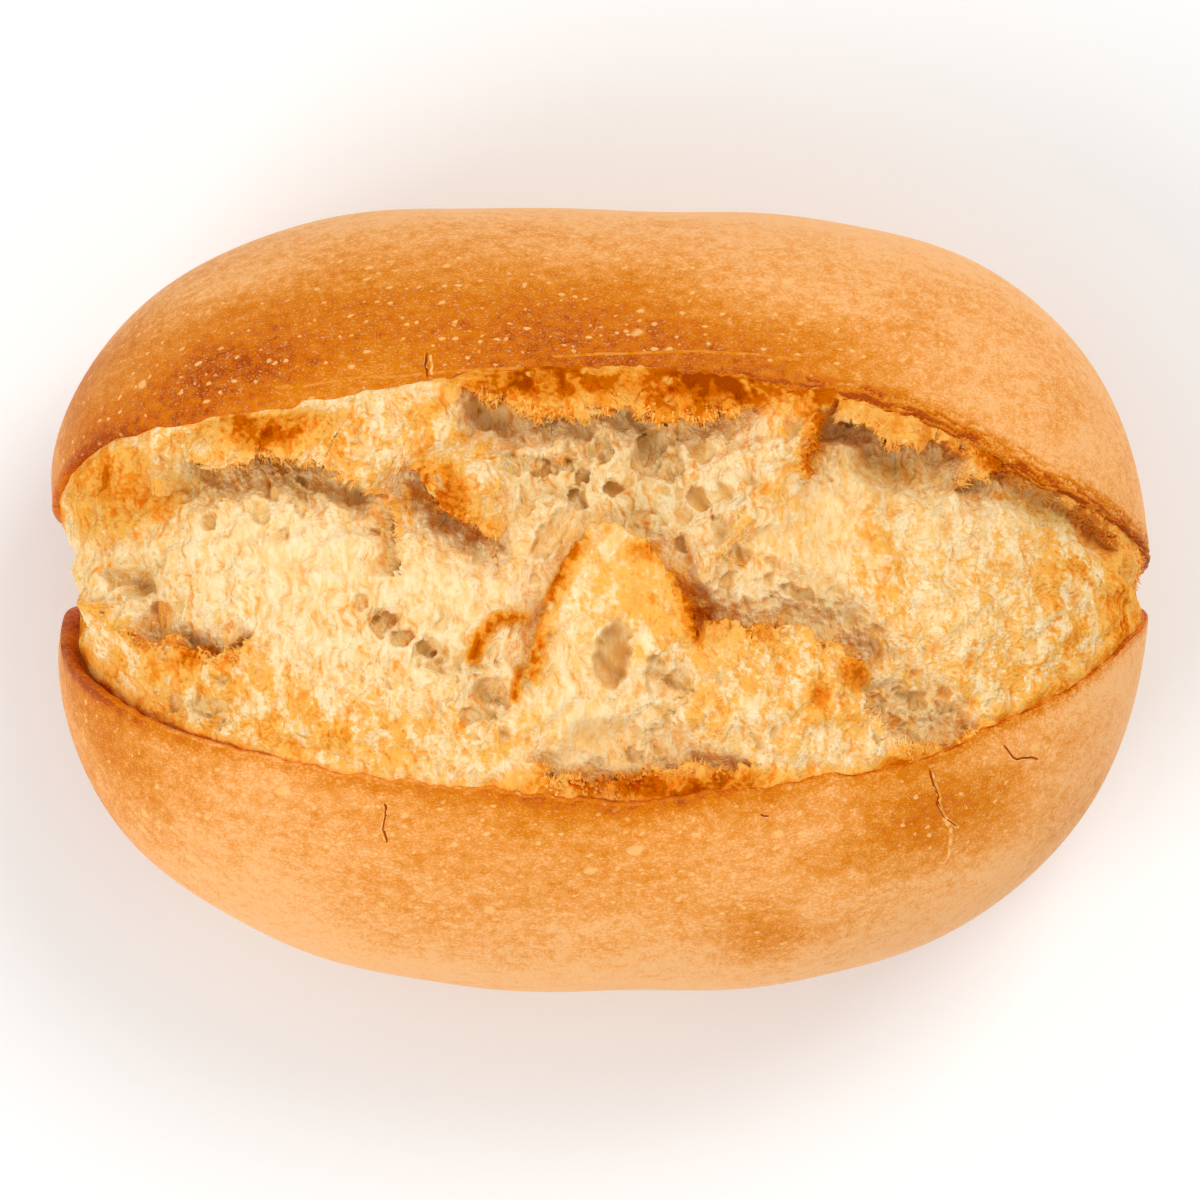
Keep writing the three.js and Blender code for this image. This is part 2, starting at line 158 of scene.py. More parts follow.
@dataclass(frozen=True)
class BakedForm:
    """Outer form of the roll before its cleft: an oval whose plan and sides are rounded by exponents.

    A point is named by two angles: along the roll, from -90 at the left nose to 90 at the right one, and
    around it, from 0 at the back over 90 at the top to 180 at the front and 270 underneath. Each bulge is
    named by its direction in plan and its width, in degrees, and its height, in millimetres.
    """

    LENGTH_SHARE = 0.4972
    WIDTH_SHARE = 0.5033
    HEIGHT_SHARE = 0.9595
    FINE_STATIONS = 2001

    half_length: float
    half_width: float
    height: float
    waist: float = 21.0
    sole_depth: float = 25.0
    sole_rounding: float = 2.0
    plan_back: float = 2.9
    plan_front: float = 2.4
    side_top: float = 2.25
    side_under: float = 2.6
    nose_drop: float = 0.3
    skeleton_half: float = 30.0
    skeleton_height: float = 15.0
    skeleton_spread: float = 0.35
    unevenness: float = 0.6
    bulges: tuple[Triple, ...] = ((158, 22, 0.9), (45, 36, -0.6), (232, 32, -0.7), (297, 16, 0.5))

    @classmethod
    def from_box(cls, low: Vector, high: Vector) -> "BakedForm":
        """Work the form out from the CAD model's box, whose crumb stands a little above the crust.

        Args:
            low: lowest corner, in metres.
            high: highest corner, in metres.

        Returns:
            The form, in millimetres.
        """
        length, width, height = (Vector(high) - Vector(low)) / MM
        return cls(cls.LENGTH_SHARE * length, cls.WIDTH_SHARE * width, cls.HEIGHT_SHARE * height)

    def on_form(self, along: Array, around: Array) -> Array:
        """Find points of the smooth, uncut form.

        Args:
            along: angles along the roll, in degrees.
            around: angles around it, in degrees.

        Returns:
            Points, in millimetres, with the three coordinates last.
        """
        a, r = np.radians(along), np.radians(around)
        x = np.sin(a) + 0.0 * r
        y = np.cos(r) * np.cos(a)
        z = np.sin(r) * np.cos(a) - self.nose_drop * (1.0 - np.cos(a))
        plan = np.where(y > 0, self.plan_back, self.plan_front)
        side = np.where(z > 0, self.side_top, self.side_under)
        rise = np.where(z > 0, self.height - self.waist, self.sole_depth)
        outline = np.abs(x / self.half_length) ** plan + np.abs(y / self.half_width) ** plan
        outline = outline ** (1.0 / plan)
        reach = (outline**side + np.abs(z / rise) ** side) ** (-1.0 / side)
        return np.stack([x * reach, y * reach, z * reach + self.waist], axis=-1)

    def outward(self, p: Array) -> Array:
        """Give unit directions that lead out of the roll at points, from a level line inside it."""
        x = p[..., 0] - np.clip(p[..., 0], -self.skeleton_half, self.skeleton_half)
        d = np.stack([x, self.skeleton_spread * p[..., 1], p[..., 2] - self.skeleton_height], axis=-1)
        return d / np.linalg.norm(d, axis=-1, keepdims=True)

    def uneven(self, p: Array) -> Array:
        """Give the slow, small unevenness of a hand-shaped roll, from -1 to 1."""
        x, y, z = p[..., 0], p[..., 1], p[..., 2]
        return (
            0.45 * np.sin(0.115 * x + 0.09 * y + 1.2)
            + 0.35 * np.sin(0.19 * y - 0.13 * z + 0.07 * x)
            + 0.2 * np.sin(0.31 * x - 0.22 * z + 2.1)
        )

    def bulge(self, p: Array) -> Array:
        """Give how far the sides stand out of the even oval, in millimetres.

        Args:
            p: points of the form.

        Returns:
            The sum of the bulges, which fade towards the middle of the plan.
        """
        toward = np.degrees(np.arctan2(p[..., 1], p[..., 0]))
        reach = smooth_step(np.hypot(p[..., 0] / self.half_length, p[..., 1] / self.half_width), 0.5, 0.9)
        total = 0.0
        for centre, width, height in self.bulges:
            total = total + height * bell((toward - centre + 180.0) % 360.0 - 180.0, width)
        return reach * total

    def rest_on_tray(self, z: Array) -> Array:
        """Flatten heights near the tray to a level sole with a soft edge."""
        t = np.clip((z + self.sole_rounding) / (2 * self.sole_rounding), 0.0, 1.0)
        return np.where(z >= self.sole_rounding, z, self.sole_rounding * t * t)

    def crust(self, along: Array, around: Array, lift: Array | float = 0.0) -> Array:
        """Find points of the crust's surface.

        Args:
            along: angles along the roll, in degrees.
            around: angles around it, in degrees.
            lift: how far the surface stands out of the form, in millimetres.

        Returns:
            Points, in millimetres.
        """
        p = self.on_form(along, around)
        shape = self.unevenness * self.uneven(p) + self.bulge(p)
        out = lift + shape * smooth_step(p[..., 2], 0.0, self.waist)
        p = p + self.outward(p) * np.asarray(out)[..., None]
        p[..., 2] = self.rest_on_tray(p[..., 2])
        return p

    def stations(self, count: int, end: float = NOSE) -> Array:
        """Space angles along the roll evenly over its top.

        Args:
            count: how many steps there are.
            end: the angle at which the last station stands.

        Returns:
            count + 1 angles, in degrees.
        """
        fine = np.linspace(-end, end, self.FINE_STATIONS)
        path = self.on_form(fine, np.full_like(fine, 90.0))
        steps = np.linalg.norm(np.diff(path, axis=0), axis=1)
        length = np.concatenate([[0.0], np.cumsum(steps)])
        return np.interp(np.linspace(0.0, length[-1], count + 1), length, fine)


@dataclass(frozen=True)
class Cleft:
    """The burst along the top. Each list holds values at stations 15 degrees apart, from left to right.

    Lips are angles around the roll, walls and heights are in millimetres, and toast and char are shares.
    """

    back_lip: tuple[float, ...] = (0, 56, 58.5, 59.5, 56.5, 54, 53, 54.2, 56.5, 61, 71, 74, 70)
    front_lip: tuple[float, ...] = (84, 103, 116, 122, 126, 127.5, 130, 128.5, 126, 122, 112, 98, 88)
    back_wall: tuple[float, ...] = (0.5, 0.7, 0.4, 0, -0.2, -0.4, -0.4, -0.4, -0.2, 0.2, 0.5, 0.8, 0.5)
    front_wall: tuple[float, ...] = (0.5, 1.8, 1.6, 0.8, 0.3, 0.3, 0.8, 0.6, 0.2, 0.2, 0.4, 0.6, 0.5)
    back_toast: tuple[float, ...] = (0.8, 0.55, 0.3, 0.2, 0.15, 0.15, 0.2, 0.25, 0.35, 0.45, 0.5, 0.5, 0.4)
    front_toast: tuple[float, ...] = (0.5, 0.6, 0.6, 0.45, 0.35, 0.45, 0.5, 0.45, 0.4, 0.5, 0.6, 0.5, 0.4)
    back_char: tuple[float, ...] = (0, 0, 0, 0, 0, 0, 0, 0.25, 0.6, 0.9, 1.0, 0.95, 0.8)
    band_width: tuple[float, ...] = (2, 2, 2, 2, 2, 2.2, 2.4, 2.6, 3, 3.2, 3.4, 3.2, 2.4)
    wrinkle_height: float = 0.26
    crinkle_height: float = 0.16
    lace_depth: float = 0.45
    ragged: float = 0.5
    curl_height: float = 0.35
    curl_reach: float = 12.0
    sink: float = 0.1
    notch_left: float = 4.6
    notch_spread: float = 18.0
    notch_right: float = 1.2
    tuck_in: float = 1.3
    tuck_reach: float = 13.0
    notch_from: float = 62.0
    notch_to: float = 80.0

    @staticmethod
    def at(values: tuple[float, ...], along: Array) -> Array:
        """Read a list of station values at any angle along the roll, as one smooth curve.

        Args:
            values: the list.
            along: angles, in degrees.

        Returns:
            The values there.
        """
        v = np.asarray(values, dtype=float)
        last = len(v) - 1
        place = np.clip((along + NOSE) * last / (2.0 * NOSE), 0.0, last)
        i = np.minimum(place.astype(int), last - 1)
        t = place - i
        before, a, b, after = v[np.maximum(i - 1, 0)], v[i], v[i + 1], v[np.minimum(i + 2, last)]
        bend = 2 * before - 5 * a + 4 * b - after + t * (3 * (a - b) + after - before)
        return a + 0.5 * t * (b - before + t * bend)

    def lips(self, along: Array) -> tuple[Array, Array]:
        """Place the two lips, with their small ragged turns.

        Args:
            along: angles along the roll, in degrees.

        Returns:
            The back lip's and the front lip's angle around the roll.
        """
        wave = Grain(5)
        fade = smooth_step(NOSE - np.abs(along), 4.0, 20.0) * self.ragged
        turns = []
        for values, slow_row, quick_row in ((self.back_lip, 0, 7), (self.front_lip, 3, 9)):
            slow = wave(along * 0.35, along * 0 + slow_row)
            quick = wave(along, along * 0 + quick_row)
            turns.append(self.at(values, along) + fade * (slow + 0.5 * quick))
        return turns[0], turns[1]

    def notch(self, along: Array) -> Array:
        """Give how deep the crumb lies in the notches at the two noses, in millimetres."""
        depth = np.where(along < 0, self.notch_left, self.notch_right)
        return depth * smooth_step(np.abs(along), self.notch_from, self.notch_to)

    def curl(self, along: Array, degrees_from_lip: Array) -> Array:
        """Give how far the crust turns up near a lip, and in at the left nose, in millimetres."""
        up = self.curl_height * bell(degrees_from_lip, self.curl_reach) * np.cos(np.radians(along))
        tucked = smooth_step(-along, self.notch_from, self.notch_to)
        return up - self.tuck_in * bell(degrees_from_lip, self.tuck_reach) * tucked

    def wrinkle(self, along: Array, degrees_from_lip: Array) -> Array:
        """Fold the crust along the charred part of the back lip.

        Args:
            along: angles along the roll, in degrees.
            degrees_from_lip: how far the points lie from the lip.

        Returns:
            The height of the folds, in millimetres.
        """
        ridge = Grain(41)
        bend = 1.2 * ridge(along * 0.45, degrees_from_lip * 0.0)
        folds = 1.0 - 2.5 * np.abs(ridge(along * 0.18, degrees_from_lip * 0.6 + bend))
        crinkles = ridge(along * 1.7, degrees_from_lip * 1.3 + 20.0)
        near = bell(degrees_from_lip, 1.3 * self.at(self.band_width, along))
        fade = self.at(self.back_char, along) * near
        return (self.wrinkle_height * folds + self.crinkle_height * crinkles) * fade

    def lace(self, along: Array, row: int) -> Array:
        """Give how unevenly the charred part of the back lip is torn, in millimetres."""
        torn = Grain(43)(along * 2.2, along * 0.0 + 0.8 * row)
        return self.lace_depth * self.at(self.back_char, along) * torn


# ----------------------------------------------------------------------------------------------------
# Relief of the torn crumb, in plan coordinates
# ----------------------------------------------------------------------------------------------------


@dataclass(frozen=True)
class Tear:
    """A ragged edge of lifted crumb, whose lifted side is on the left of its direction.

    lift and drop are how far its two sides stand and sink, reach and hollow how far that runs back, and hang
    how far the edge leans over, all in millimetres. toast, fringe and ragged are shares: how browned the edge
    is, how many shreds it bears and how uneven it is.
    """

    name: str
    edge: Path
    lift: float
    drop: float
    reach: float
    hollow: float
    hang: float
    toast: float = 0.5
    fringe: float = 1.0
    ragged: float = 1.0


@dataclass(frozen=True)
class Oval:
    """An oval patch with a strength: a height, a depth or a share, as its list says."""

    name: str
    at: Point
    size: Point
    amount: float
    turn: float = 0.0


@dataclass(frozen=True)
class Strand:
    """A rounded line, raised or sunk."""

    name: str
    path: Path
    width: float
    height: float
    toast: float = 0.0


TEARS = (
    Tear("shelf", ((-41, 11.5), (-37.5, 10), (-32.5, 11), (-27, 10.5), (-24.5, 9), (-20, 6.5)),
         1.6, 3.6, 5, 3.6, 1.4, 0.35),
    Tear("shelf_point", ((-19, 12), (-17, 8), (-15, 5.5), (-12.5, 4.5), (-10, 3), (-8, 3.5)),
         2.2, 3.2, 4, 3, 1.4, 0.6),
    Tear("slope_edge", ((-20.5, 7.5), (-19.5, 3.5), (-19.5, 0)), 0.9, 1.3, 4, 2.4, 0.4, 0.1, 0.7),
    Tear("valance", ((-14.5, 17), (-11, 16.5), (-7.5, 15.5), (-4.5, 14.5), (-1, 15), (3, 15.5), (6.5, 14),
                     (10, 14.5), (13.5, 15.5), (17.5, 15.5)), 1.2, 2.6, 4, 3.6, 1.2, 0.8),
    Tear("peak", ((20, 8.5), (21, 12), (22, 14), (21.5, 16.5)), 1.6, 2, 2.4, 2.4, 0.8, 0.9),
    Tear("hood", ((21.6, 16.5), (23.4, 15), (25.8, 13.9), (28.6, 12.8), (31.5, 12.9), (33.4, 11.8),
                  (35.6, 10.9)), 1, 3.8, 4, 4.8, 1.6, 0.5),
    Tear("hood_tip", ((33.6, 7.9), (36.2, 9.7), (38.2, 10.5), (41.1, 10.5), (44.1, 9.2), (47.1, 7.4),
                      (49.8, 5.1), (51.4, 3)), 0.9, 2.8, 3, 3.0, 0.7, 0.6),
    Tear("tongue", ((10.2, -7), (9.6, -3.5), (7.8, -0.2), (5.6, 2.4), (2.6, 5), (-0.6, 5.4), (-2.2, 4.6)),
         1.7, 2, 2.6, 2.6, 0.5, 0.4, 0.66, 0.6),
    Tear("tongue_left", ((-0.6, 5.4), (-2.6, 2.6), (-4.3, -0.6), (-5.6, -4), (-6.5, -7), (-7.5, -11)),
         1.3, 1.8, 1.8, 2.4, 0.1, 1.0, 0.5, 0.4),
    Tear("apron", ((27.5, -9.5), (23.5, -6.5), (20.5, -5), (18, -4), (15, -4.5), (11, -3.5), (8.5, -4)),
         2, 2.2, 3.4, 2.8, 0.8, 0.5, 0.8),
    Tear("pocket_rim", ((37.5, -13.5), (34.5, -15), (31.5, -15.5), (28, -14.5), (26.5, -13), (25, -9.5)),
         0.8, 2.4, 2.4, 3, 0.6, 0.1),
    Tear("front_ridge", ((17, -17.3), (10, -17.5), (5.5, -17.5), (3, -18.5), (-1, -19), (-4, -18.5),
                         (-7, -16.5)), 1.2, 1.4, 2.4, 3, 0.8, 0.8),
    Tear("left_flap", ((-33, -4), (-35, -6.5), (-36.5, -7), (-38, -6), (-40.5, -5), (-43, -5), (-45.5, -3)),
         1.4, 2.2, 3, 2.4, 0.8, 0.6),
)

HOLLOWS = (
    Oval("sponge_wall", (2, 9.5), (12, 5), 1.6),
    Oval("valance_cave", (-9, 14.5), (3.5, 2), 1.6),
    Oval("sponge_cell_a", (5, 12), (1.6, 3), 1.4),
    Oval("sponge_cell_b", (-4.5, 9.2), (3, 1.6), 1.2),
    Oval("curl_cell", (-10.5, -11.5), (2.6, 2.3), 2.2),
    Oval("slope_cell_a", (-15, -7.8), (3.2, 1.8), 1.8),
    Oval("slope_cell_b", (-20, -3.8), (2.4, 1.8), 1.2),
    Oval("tongue_foot", (6.8, -10), (2.6, 2), 2, -20),
    Oval("bowl", (1, -15.5), (6, 3.2), 2.4),
    Oval("bowl_end", (6.5, -15.8), (3.4, 1.6), 1.2),
    Oval("pocket", (31.8, -11.8), (4.6, 3.2), 1.7, -15),
    Oval("hood_cave", (29, 10.6), (6, 2.6), 1.6),
    Oval("hood_end", (42, 8), (4.5, 1.8), 1.2, -16),
    Oval("bubble", (22, 5.8), (4.2, 4.4), 1.2),
    Oval("shelf_pit", (-43, 9.5), (4.5, 2.6), 1.8),
    Oval("nose_cell_a", (-45.5, 0.5), (2.4, 2.1), 2.4),
    Oval("nose_cell_b", (-42.5, -2.8), (1.7, 1.6), 1.8),
    Oval("flap_pit_a", (-40.5, -12.5), (1.2, 1), 0.9),
    Oval("flap_pit_b", (-36.3, -13.3), (1.9, 1), 1.2),
)

CELLS = (
    Oval("valance_cave", (-10.4, 16.4), (2.6, 1.8), 1.8),
    Oval("valance_b", (-7.0, 16.6), (0.9, 1.0), 1.1),
    Oval("valance_c", (-5.0, 15.7), (1.3, 1.1), 1.3),
    Oval("valance_d", (-1.5, 15.4), (1.4, 2.0), 1.5),
    Oval("valance_e", (2.0, 15.7), (0.6, 0.7), 0.9),
    Oval("valance_f", (4.4, 15.7), (1.5, 1.3), 1.3),
    Oval("wall_a", (0.5, 12.8), (0.9, 1.5), 1.5),
    Oval("wall_b", (4.9, 12.6), (1.5, 2.3), 1.7),
    Oval("wall_c", (-5.3, 10.9), (1.6, 0.9), 1.4),
    Oval("wall_d", (-2.9, 11.1), (0.6, 0.7), 1.1),
    Oval("wall_e", (-1.3, 10.3), (0.6, 0.9), 1.1),
    Oval("wall_f", (1.5, 9.0), (0.9, 0.6), 1.3),
    Oval("wall_g", (-2.0, 7.5), (1.1, 0.8), 1.6),
    Oval("wall_h", (6.8, 11.4), (1.4, 1.2), 1.2),
    Oval("wall_i", (-8.2, 11.2), (0.9, 1.3), 1.1),
    Oval("point_pit", (-12.6, 14.7), (0.7, 0.9), 1.2),
    Oval("trough", (-4.3, 4.4), (3.0, 1.1), 1.3, 56),
    Oval("shelf_a", (-30.3, 11.2), (0.6, 1.0), 1.2),
    Oval("shelf_b", (-28.5, 9.9), (0.4, 0.4), 1.2),
    Oval("shelf_c", (-32.0, 8.8), (0.4, 0.9), 0.9),
    Oval("slope_a", (-32.3, 6.4), (0.8, 1.2), 0.9),
    Oval("slope_b", (-28.5, 7.4), (0.5, 1.4), 0.8),
    Oval("slope_c", (-37.6, 6.1), (0.6, 0.9), 1.2),
    Oval("slope_d", (-21.3, 4.7), (0.4, 0.4), 1.2),
    Oval("slope_e", (-30.1, 4.6), (0.4, 0.7), 0.8),
    Oval("fold_a", (-20.8, -4.2), (0.9, 1.2), 1.2),
    Oval("fold_b", (-18.6, -5.6), (1.2, 0.8), 1.4),
    Oval("fold_c", (-16.2, -6.6), (1.3, 0.9), 1.5, 20),
    Oval("fold_d", (-22.6, -2.4), (0.6, 0.8), 0.9),
    Oval("tongue_eye", (1.5, -7.4), (1.6, 3.0), 3.8, -8),
    Oval("curl_a", (-10.4, -10.8), (1.6, 1.3), 1.6),
    Oval("curl_b", (-12.2, -13.0), (1.0, 0.8), 1.2),
    Oval("foot_a", (5.6, -8.6), (1.0, 1.3), 1.3),
    Oval("foot_b", (7.6, -9.8), (1.4, 0.9), 1.5, -20),
    Oval("bowl_end", (3.6, -17.0), (0.9, 0.6), 1.3),
    Oval("flap_a", (-41.4, -11.6), (0.8, 0.7), 1.1),
    Oval("flap_b", (-37.5, -12.0), (1.8, 0.9), 1.3),
    Oval("nose_a", (-47.2, 1.0), (1.2, 0.9), 1.3),
    Oval("nose_b", (-44.6, 0.2), (1.3, 1.1), 1.5),
    Oval("nose_c", (-42.6, -2.6), (1.2, 1.2), 1.5),
    Oval("valley_a", (11.5, 5.2), (0.8, 1.2), 1.2),
    Oval("valley_b", (13.6, 2.4), (1.0, 0.8), 1.2),
    Oval("valley_c", (18.8, -1.2), (1.6, 0.7), 1.2, -20),
    Oval("pocket_a", (30.2, -11.6), (1.6, 1.0), 1.2),
    Oval("pocket_b", (33.6, -12.4), (1.2, 0.8), 1.0),
)

SHADED = (
    Oval("hood", (28.5, 11), (6.5, 2.4), 1.0, -6),
    Oval("hood_end", (43.5, 7.7), (6.5, 1.9), 1.2, -18),
    Oval("shelf", (-30, 9), (9, 1.5), 0.6),
    Oval("valance", (-10, 15.4), (5, 2), 0.6),
    Oval("left", (-41, 10.5), (5, 2.2), 0.6),
    Oval("left_sheet", (-46, 7), (7, 4.5), 0.4),
    Oval("bubble", (22, 5.5), (5, 5), 0.35),
    Oval("nose", (-45, 0.3), (3.2, 2.4), 0.6),
    Oval("tongue_eye", (1.6, -7.2), (1.6, 2.8), 0.7, -8),
    Oval("bowl", (4, -15.8), (4, 1.6), 0.3),
    Oval("valley", (22, -1.5), (6, 2), 0.4, -34),
    Oval("low_left", (-38, -12), (6, 1.6), 0.35),
)

MOUNDS = (
    Oval("right_mass", (37, -1.5), (12, 10), 2.2),
    Oval("tongue_swell", (1, -2.5), (6, 6.5), 1.6),
    Oval("slope_swell", (-28, -2), (12, 8), 1.2),
    Oval("slope_fold", (-14, -1.5), (5, 6), 0.8),
    Oval("apron_swell", (17.5, -11.5), (9, 5), 1.8),
    Oval("flap_swell", (-30, -13.5), (14, 4), 1.0),
)

STRANDS = (
    Strand("strand", ((21, 12), (17.5, 9.5), (14.5, 6.5), (12, 3), (10.5, 0.5)), 2, 2, 0.3),
    Strand("curl", ((-11.8, -7.5), (-11, -5.5), (-9.5, -4), (-7, -4)), 1, 1.6, 1.1),
    Strand("bar", ((-7.5, -8.8), (-7.9, -11.4)), 0.7, 0.6, 1.0),
    Strand("nose_fold", ((-50.5, -1), (-47.5, -2.5), (-45.5, -4.5)), 1.2, 1.4, 0.5),
    Strand("bubble_rim", ((23, 13), (25.5, 9), (26.5, 5), (28, 0)), 0.9, 0.9, 0.1),
    Strand("valley", ((9.5, 7.5), (13.5, 1), (17, -1.5), (23.5, -4), (29, -9.5)), 3, -1.8),
)

SPONGE = (
    Oval("wall", (3, 9.5), (14, 6.5), 1.0),
    Oval("valley", (17, 0), (9, 5), 1.0, -40),
    Oval("valley_foot", (27, -7), (5, 4), 0.8, -40),
    Oval("pocket", (31.8, -11.8), (5, 3.5), 0.7),
    Oval("curl_cell", (-10.5, -11.5), (3.4, 3), 0.9),
    Oval("tongue_foot", (6.8, -10.5), (5, 3.4), 0.9),
    Oval("nose", (-45, -0.5), (4.5, 4), 0.8),
    Oval("flap", (-39, -12), (6, 4), 0.6),
    Oval("slope_cells", (-18, -6), (6, 4), 0.6),
    Oval("shelf_cave", (-30, 8), (8, 2.2), 0.5),
    Oval("bowl_end", (6, -14), (4, 3), 0.6),
)

SILK = (
    Oval("bubble", (21.5, 5.5), (5.5, 6), 1.0),
    Oval("tongue_eye", (1.8, -7.2), (2.6, 3.8), 1.0),
    Oval("bowl", (-2, -14.5), (4.5, 3.5), 1.0),
    Oval("tongue", (1.5, -2), (5.5, 6), 0.9),
    Oval("trough", (-2.5, 4.5), (3, 2), 0.6),
    Oval("slope", (-28, 3), (10, 6), 0.5),
    Oval("slope_fold", (-14, -1), (5, 5), 0.5),
)

MOTTLED = (
    Oval("right_mass", (38, -1), (15, 12), 1.0),
    Oval("apron", (17, -8), (10, 6), 0.7),
    Oval("flap", (-30, -14), (20, 5), 0.8),
    Oval("shelf_point", (-14.5, 9), (6, 7), 0.9),
)

TOASTED = (
    Oval("shelf_top", (-33.5, 15.2), (4.5, 1.6), 0.9, -6),
    Oval("shelf_right", (-27.5, 15.4), (4, 1.2), 0.55, 4),
    Oval("shelf_point", (-12.5, 7), (4.5, 3), 0.7, -38),
    Oval("point_spot", (-15, 10.4), (2.4, 1.8), 0.5),
    Oval("valance_a", (-6, 19.4), (9, 2.6), 1.25),
    Oval("valance_b", (9, 18.6), (7, 3.2), 1.15),
    Oval("valance_c", (19, 19), (8, 2.6), 0.85),
    Oval("peak", (20.6, 14), (1.8, 3.4), 1.0),
    Oval("hood", (33, 14.8), (9, 2.2), 0.6, -16),
    Oval("hood_tip", (40, 11.4), (5, 1.6), 0.85, -10),
    Oval("hood_end", (48.5, 6.8), (3.5, 1.8), 0.8, -34),
    Oval("tongue_left", (-4.6, -2.2), (0.8, 6.5), 1.0, -20),
    Oval("tongue_top", (4.5, 2.3), (1.6, 1.3), 0.8),
    Oval("tongue_right", (8.2, -1.6), (1.5, 4.2), 1.1, 28),
    Oval("tongue_side", (9.2, -4.2), (1.4, 2.2), 0.8),
    Oval("apron_a", (14, -5.2), (5, 1.6), 0.6, -8),
    Oval("apron_b", (24.6, -9), (2.4, 2), 0.65, -40),
    Oval("apron_c", (21, -11.5), (2, 1.6), 0.5),
    Oval("apron_streak", (9.5, -12.5), (0.8, 3.4), 0.5, -14),
    Oval("front_a", (1, -20.2), (10, 2.1), 0.9),
    Oval("front_b", (13, -20.1), (9, 2.2), 0.8),
    Oval("front_c", (31, -17.6), (8, 2.0), 1.0, 14),
    Oval("right_edge", (51.6, -1.5), (2.6, 7), 0.85),
    Oval("left_side", (-48.5, 11.5), (4.5, 3.5), 0.6),
    Oval("left_spots", (-42, 9.2), (3, 1.6), 0.55, 10),
    Oval("left_sheet", (-46, 8), (7, 4.5), 0.72),
    Oval("front_left", (-21, -17), (11, 3), 0.34, -6),
    Oval("apron_body", (17, -9), (8, 3), 0.2, -8),
    Oval("left_foot", (-44, -10), (7, 4), 0.3, -20),
    Oval("shelf_body", (-31, 13.4), (9, 2.6), 0.36),
    Oval("tongue_body", (1.5, 0), (6, 4.5), 0.36),
    Oval("bubble_right", (25, 4), (3, 4), 0.25),
    Oval("left_flap", (-38.5, -7.5), (5, 1.8), 0.75, 14),
    Oval("left_low", (-38, -16.5), (14, 1.5), 0.7, -18),
)

GOLDEN = (
    Oval("shelf", (-31, 14.5), (9, 3), 1.1, -3),
    Oval("shelf_right", (-19, 14.5), (7, 4), 0.6),
    Oval("point", (-14, 9), (6, 7), 0.95),
    Oval("left_side", (-46, 10.5), (9, 5.5), 1.35),
    Oval("left_low", (-43, -7.5), (11, 6), 1.0, -12),
    Oval("front_left", (-27, -14.5), (17, 4.5), 0.95, -5),
    Oval("front_middle", (-8, -15), (7, 4), 0.3),
    Oval("tongue", (1.5, -1), (7, 8), 0.8),
    Oval("apron", (16, -6.5), (9, 3), 1.0, -12),
    Oval("apron_low", (14, -14), (9, 5), 0.7),
    Oval("apron_end", (24, -11), (4, 4), 0.6),
    Oval("right", (38, 0), (14, 11), 0.35),
    Oval("right_low", (40, -10), (10, 4), 0.7, 14),
    Oval("right_side", (47, 0.5), (5, 8), 0.8),
    Oval("hood", (31, 14), (10, 3), 0.85, -16),
    Oval("peak", (20, 14), (3, 5), 0.8),
    Oval("strand", (14.5, 6.5), (6, 3), 0.5, 55),
    Oval("bubble", (22, 5), (5, 5), 0.5),
    Oval("bubble_edge", (27, 2), (2.5, 6), 0.5, 10),
    Oval("notch", (-19.5, 8), (3.5, 3), 0.8),
)

BAKED = (
    Oval("back_crest", (-8, 24), (36, 8.5), 0.6),
    Oval("back_left", (-40, 16), (14, 10), 0.52, 30),
    Oval("back_middle", (0, 26), (20, 6), 0.12),
    Oval("back_low", (5, 20), (34, 3.5), 0.24),
    Oval("left_nose", (-50, 0), (6, 18), 0.5),
    Oval("front_lip", (2, -21), (32, 4.5), 0.42),
    Oval("front_left", (-44, -17), (9, 9), 0.27, -40),
    Oval("front_right", (34, -22), (11, 5.5), 0.5, 24),
    Oval("front_middle", (2, -27), (32, 6), 0.18),
    Oval("front_patch", (16, -34), (4, 3), 0.25),
    Oval("right_side", (48, 6), (8, 14), 0.12),
    Oval("front_pale", (0, -33), (28, 6), 0.13),
    Oval("back_right", (45, 20), (8, 9), 0.09),
)


def oval_distance(oval: Oval, x: Array, y: Array) -> Array:
    """Measure how far plan points are from an oval's centre.

    Args:
        oval: the oval.
        x: plan coordinates along the roll, in millimetres.
        y: plan coordinates across it, in millimetres.

    Returns:
        The distances, in the oval's own half sizes.
    """
    turn = math.radians(oval.turn)
    dx, dy = x - oval.at[0], y - oval.at[1]
    u = (dx * math.cos(turn) + dy * math.sin(turn)) / oval.size[0]
    v = (dy * math.cos(turn) - dx * math.sin(turn)) / oval.size[1]
    return np.hypot(u, v)


def oval_field(ovals: tuple[Oval, ...], x: Array, y: Array, width: float = 0.9) -> Array:
    """Add up soft ovals at plan points."""
    return sum(oval.amount * bell(oval_distance(oval, x, y), width) for oval in ovals)


def shares(ovals: tuple[Oval, ...], x: Array, y: Array, width: float = 0.9) -> Array:
    """Add up soft ovals at plan points, and keep the sum from 0 to 1."""
    return np.clip(oval_field(ovals, x, y, width), 0.0, 1.0)


def crisp_field(ovals: tuple[Oval, ...], x: Array, y: Array) -> Array:
    """Take the strongest of ovals that have an edge at plan points."""
    total = np.zeros(x.shape)
    for oval in ovals:
        inside = smooth_step(oval_distance(oval, x, y), 1.15, 0.75)
        total = np.maximum(total, oval.amount * inside)
    return total


@dataclass
class Nearest:
    """Where plan points lie beside a path."""

    distance: Array
    signed: Array
    left_x: Array
    left_y: Array
    share: Array


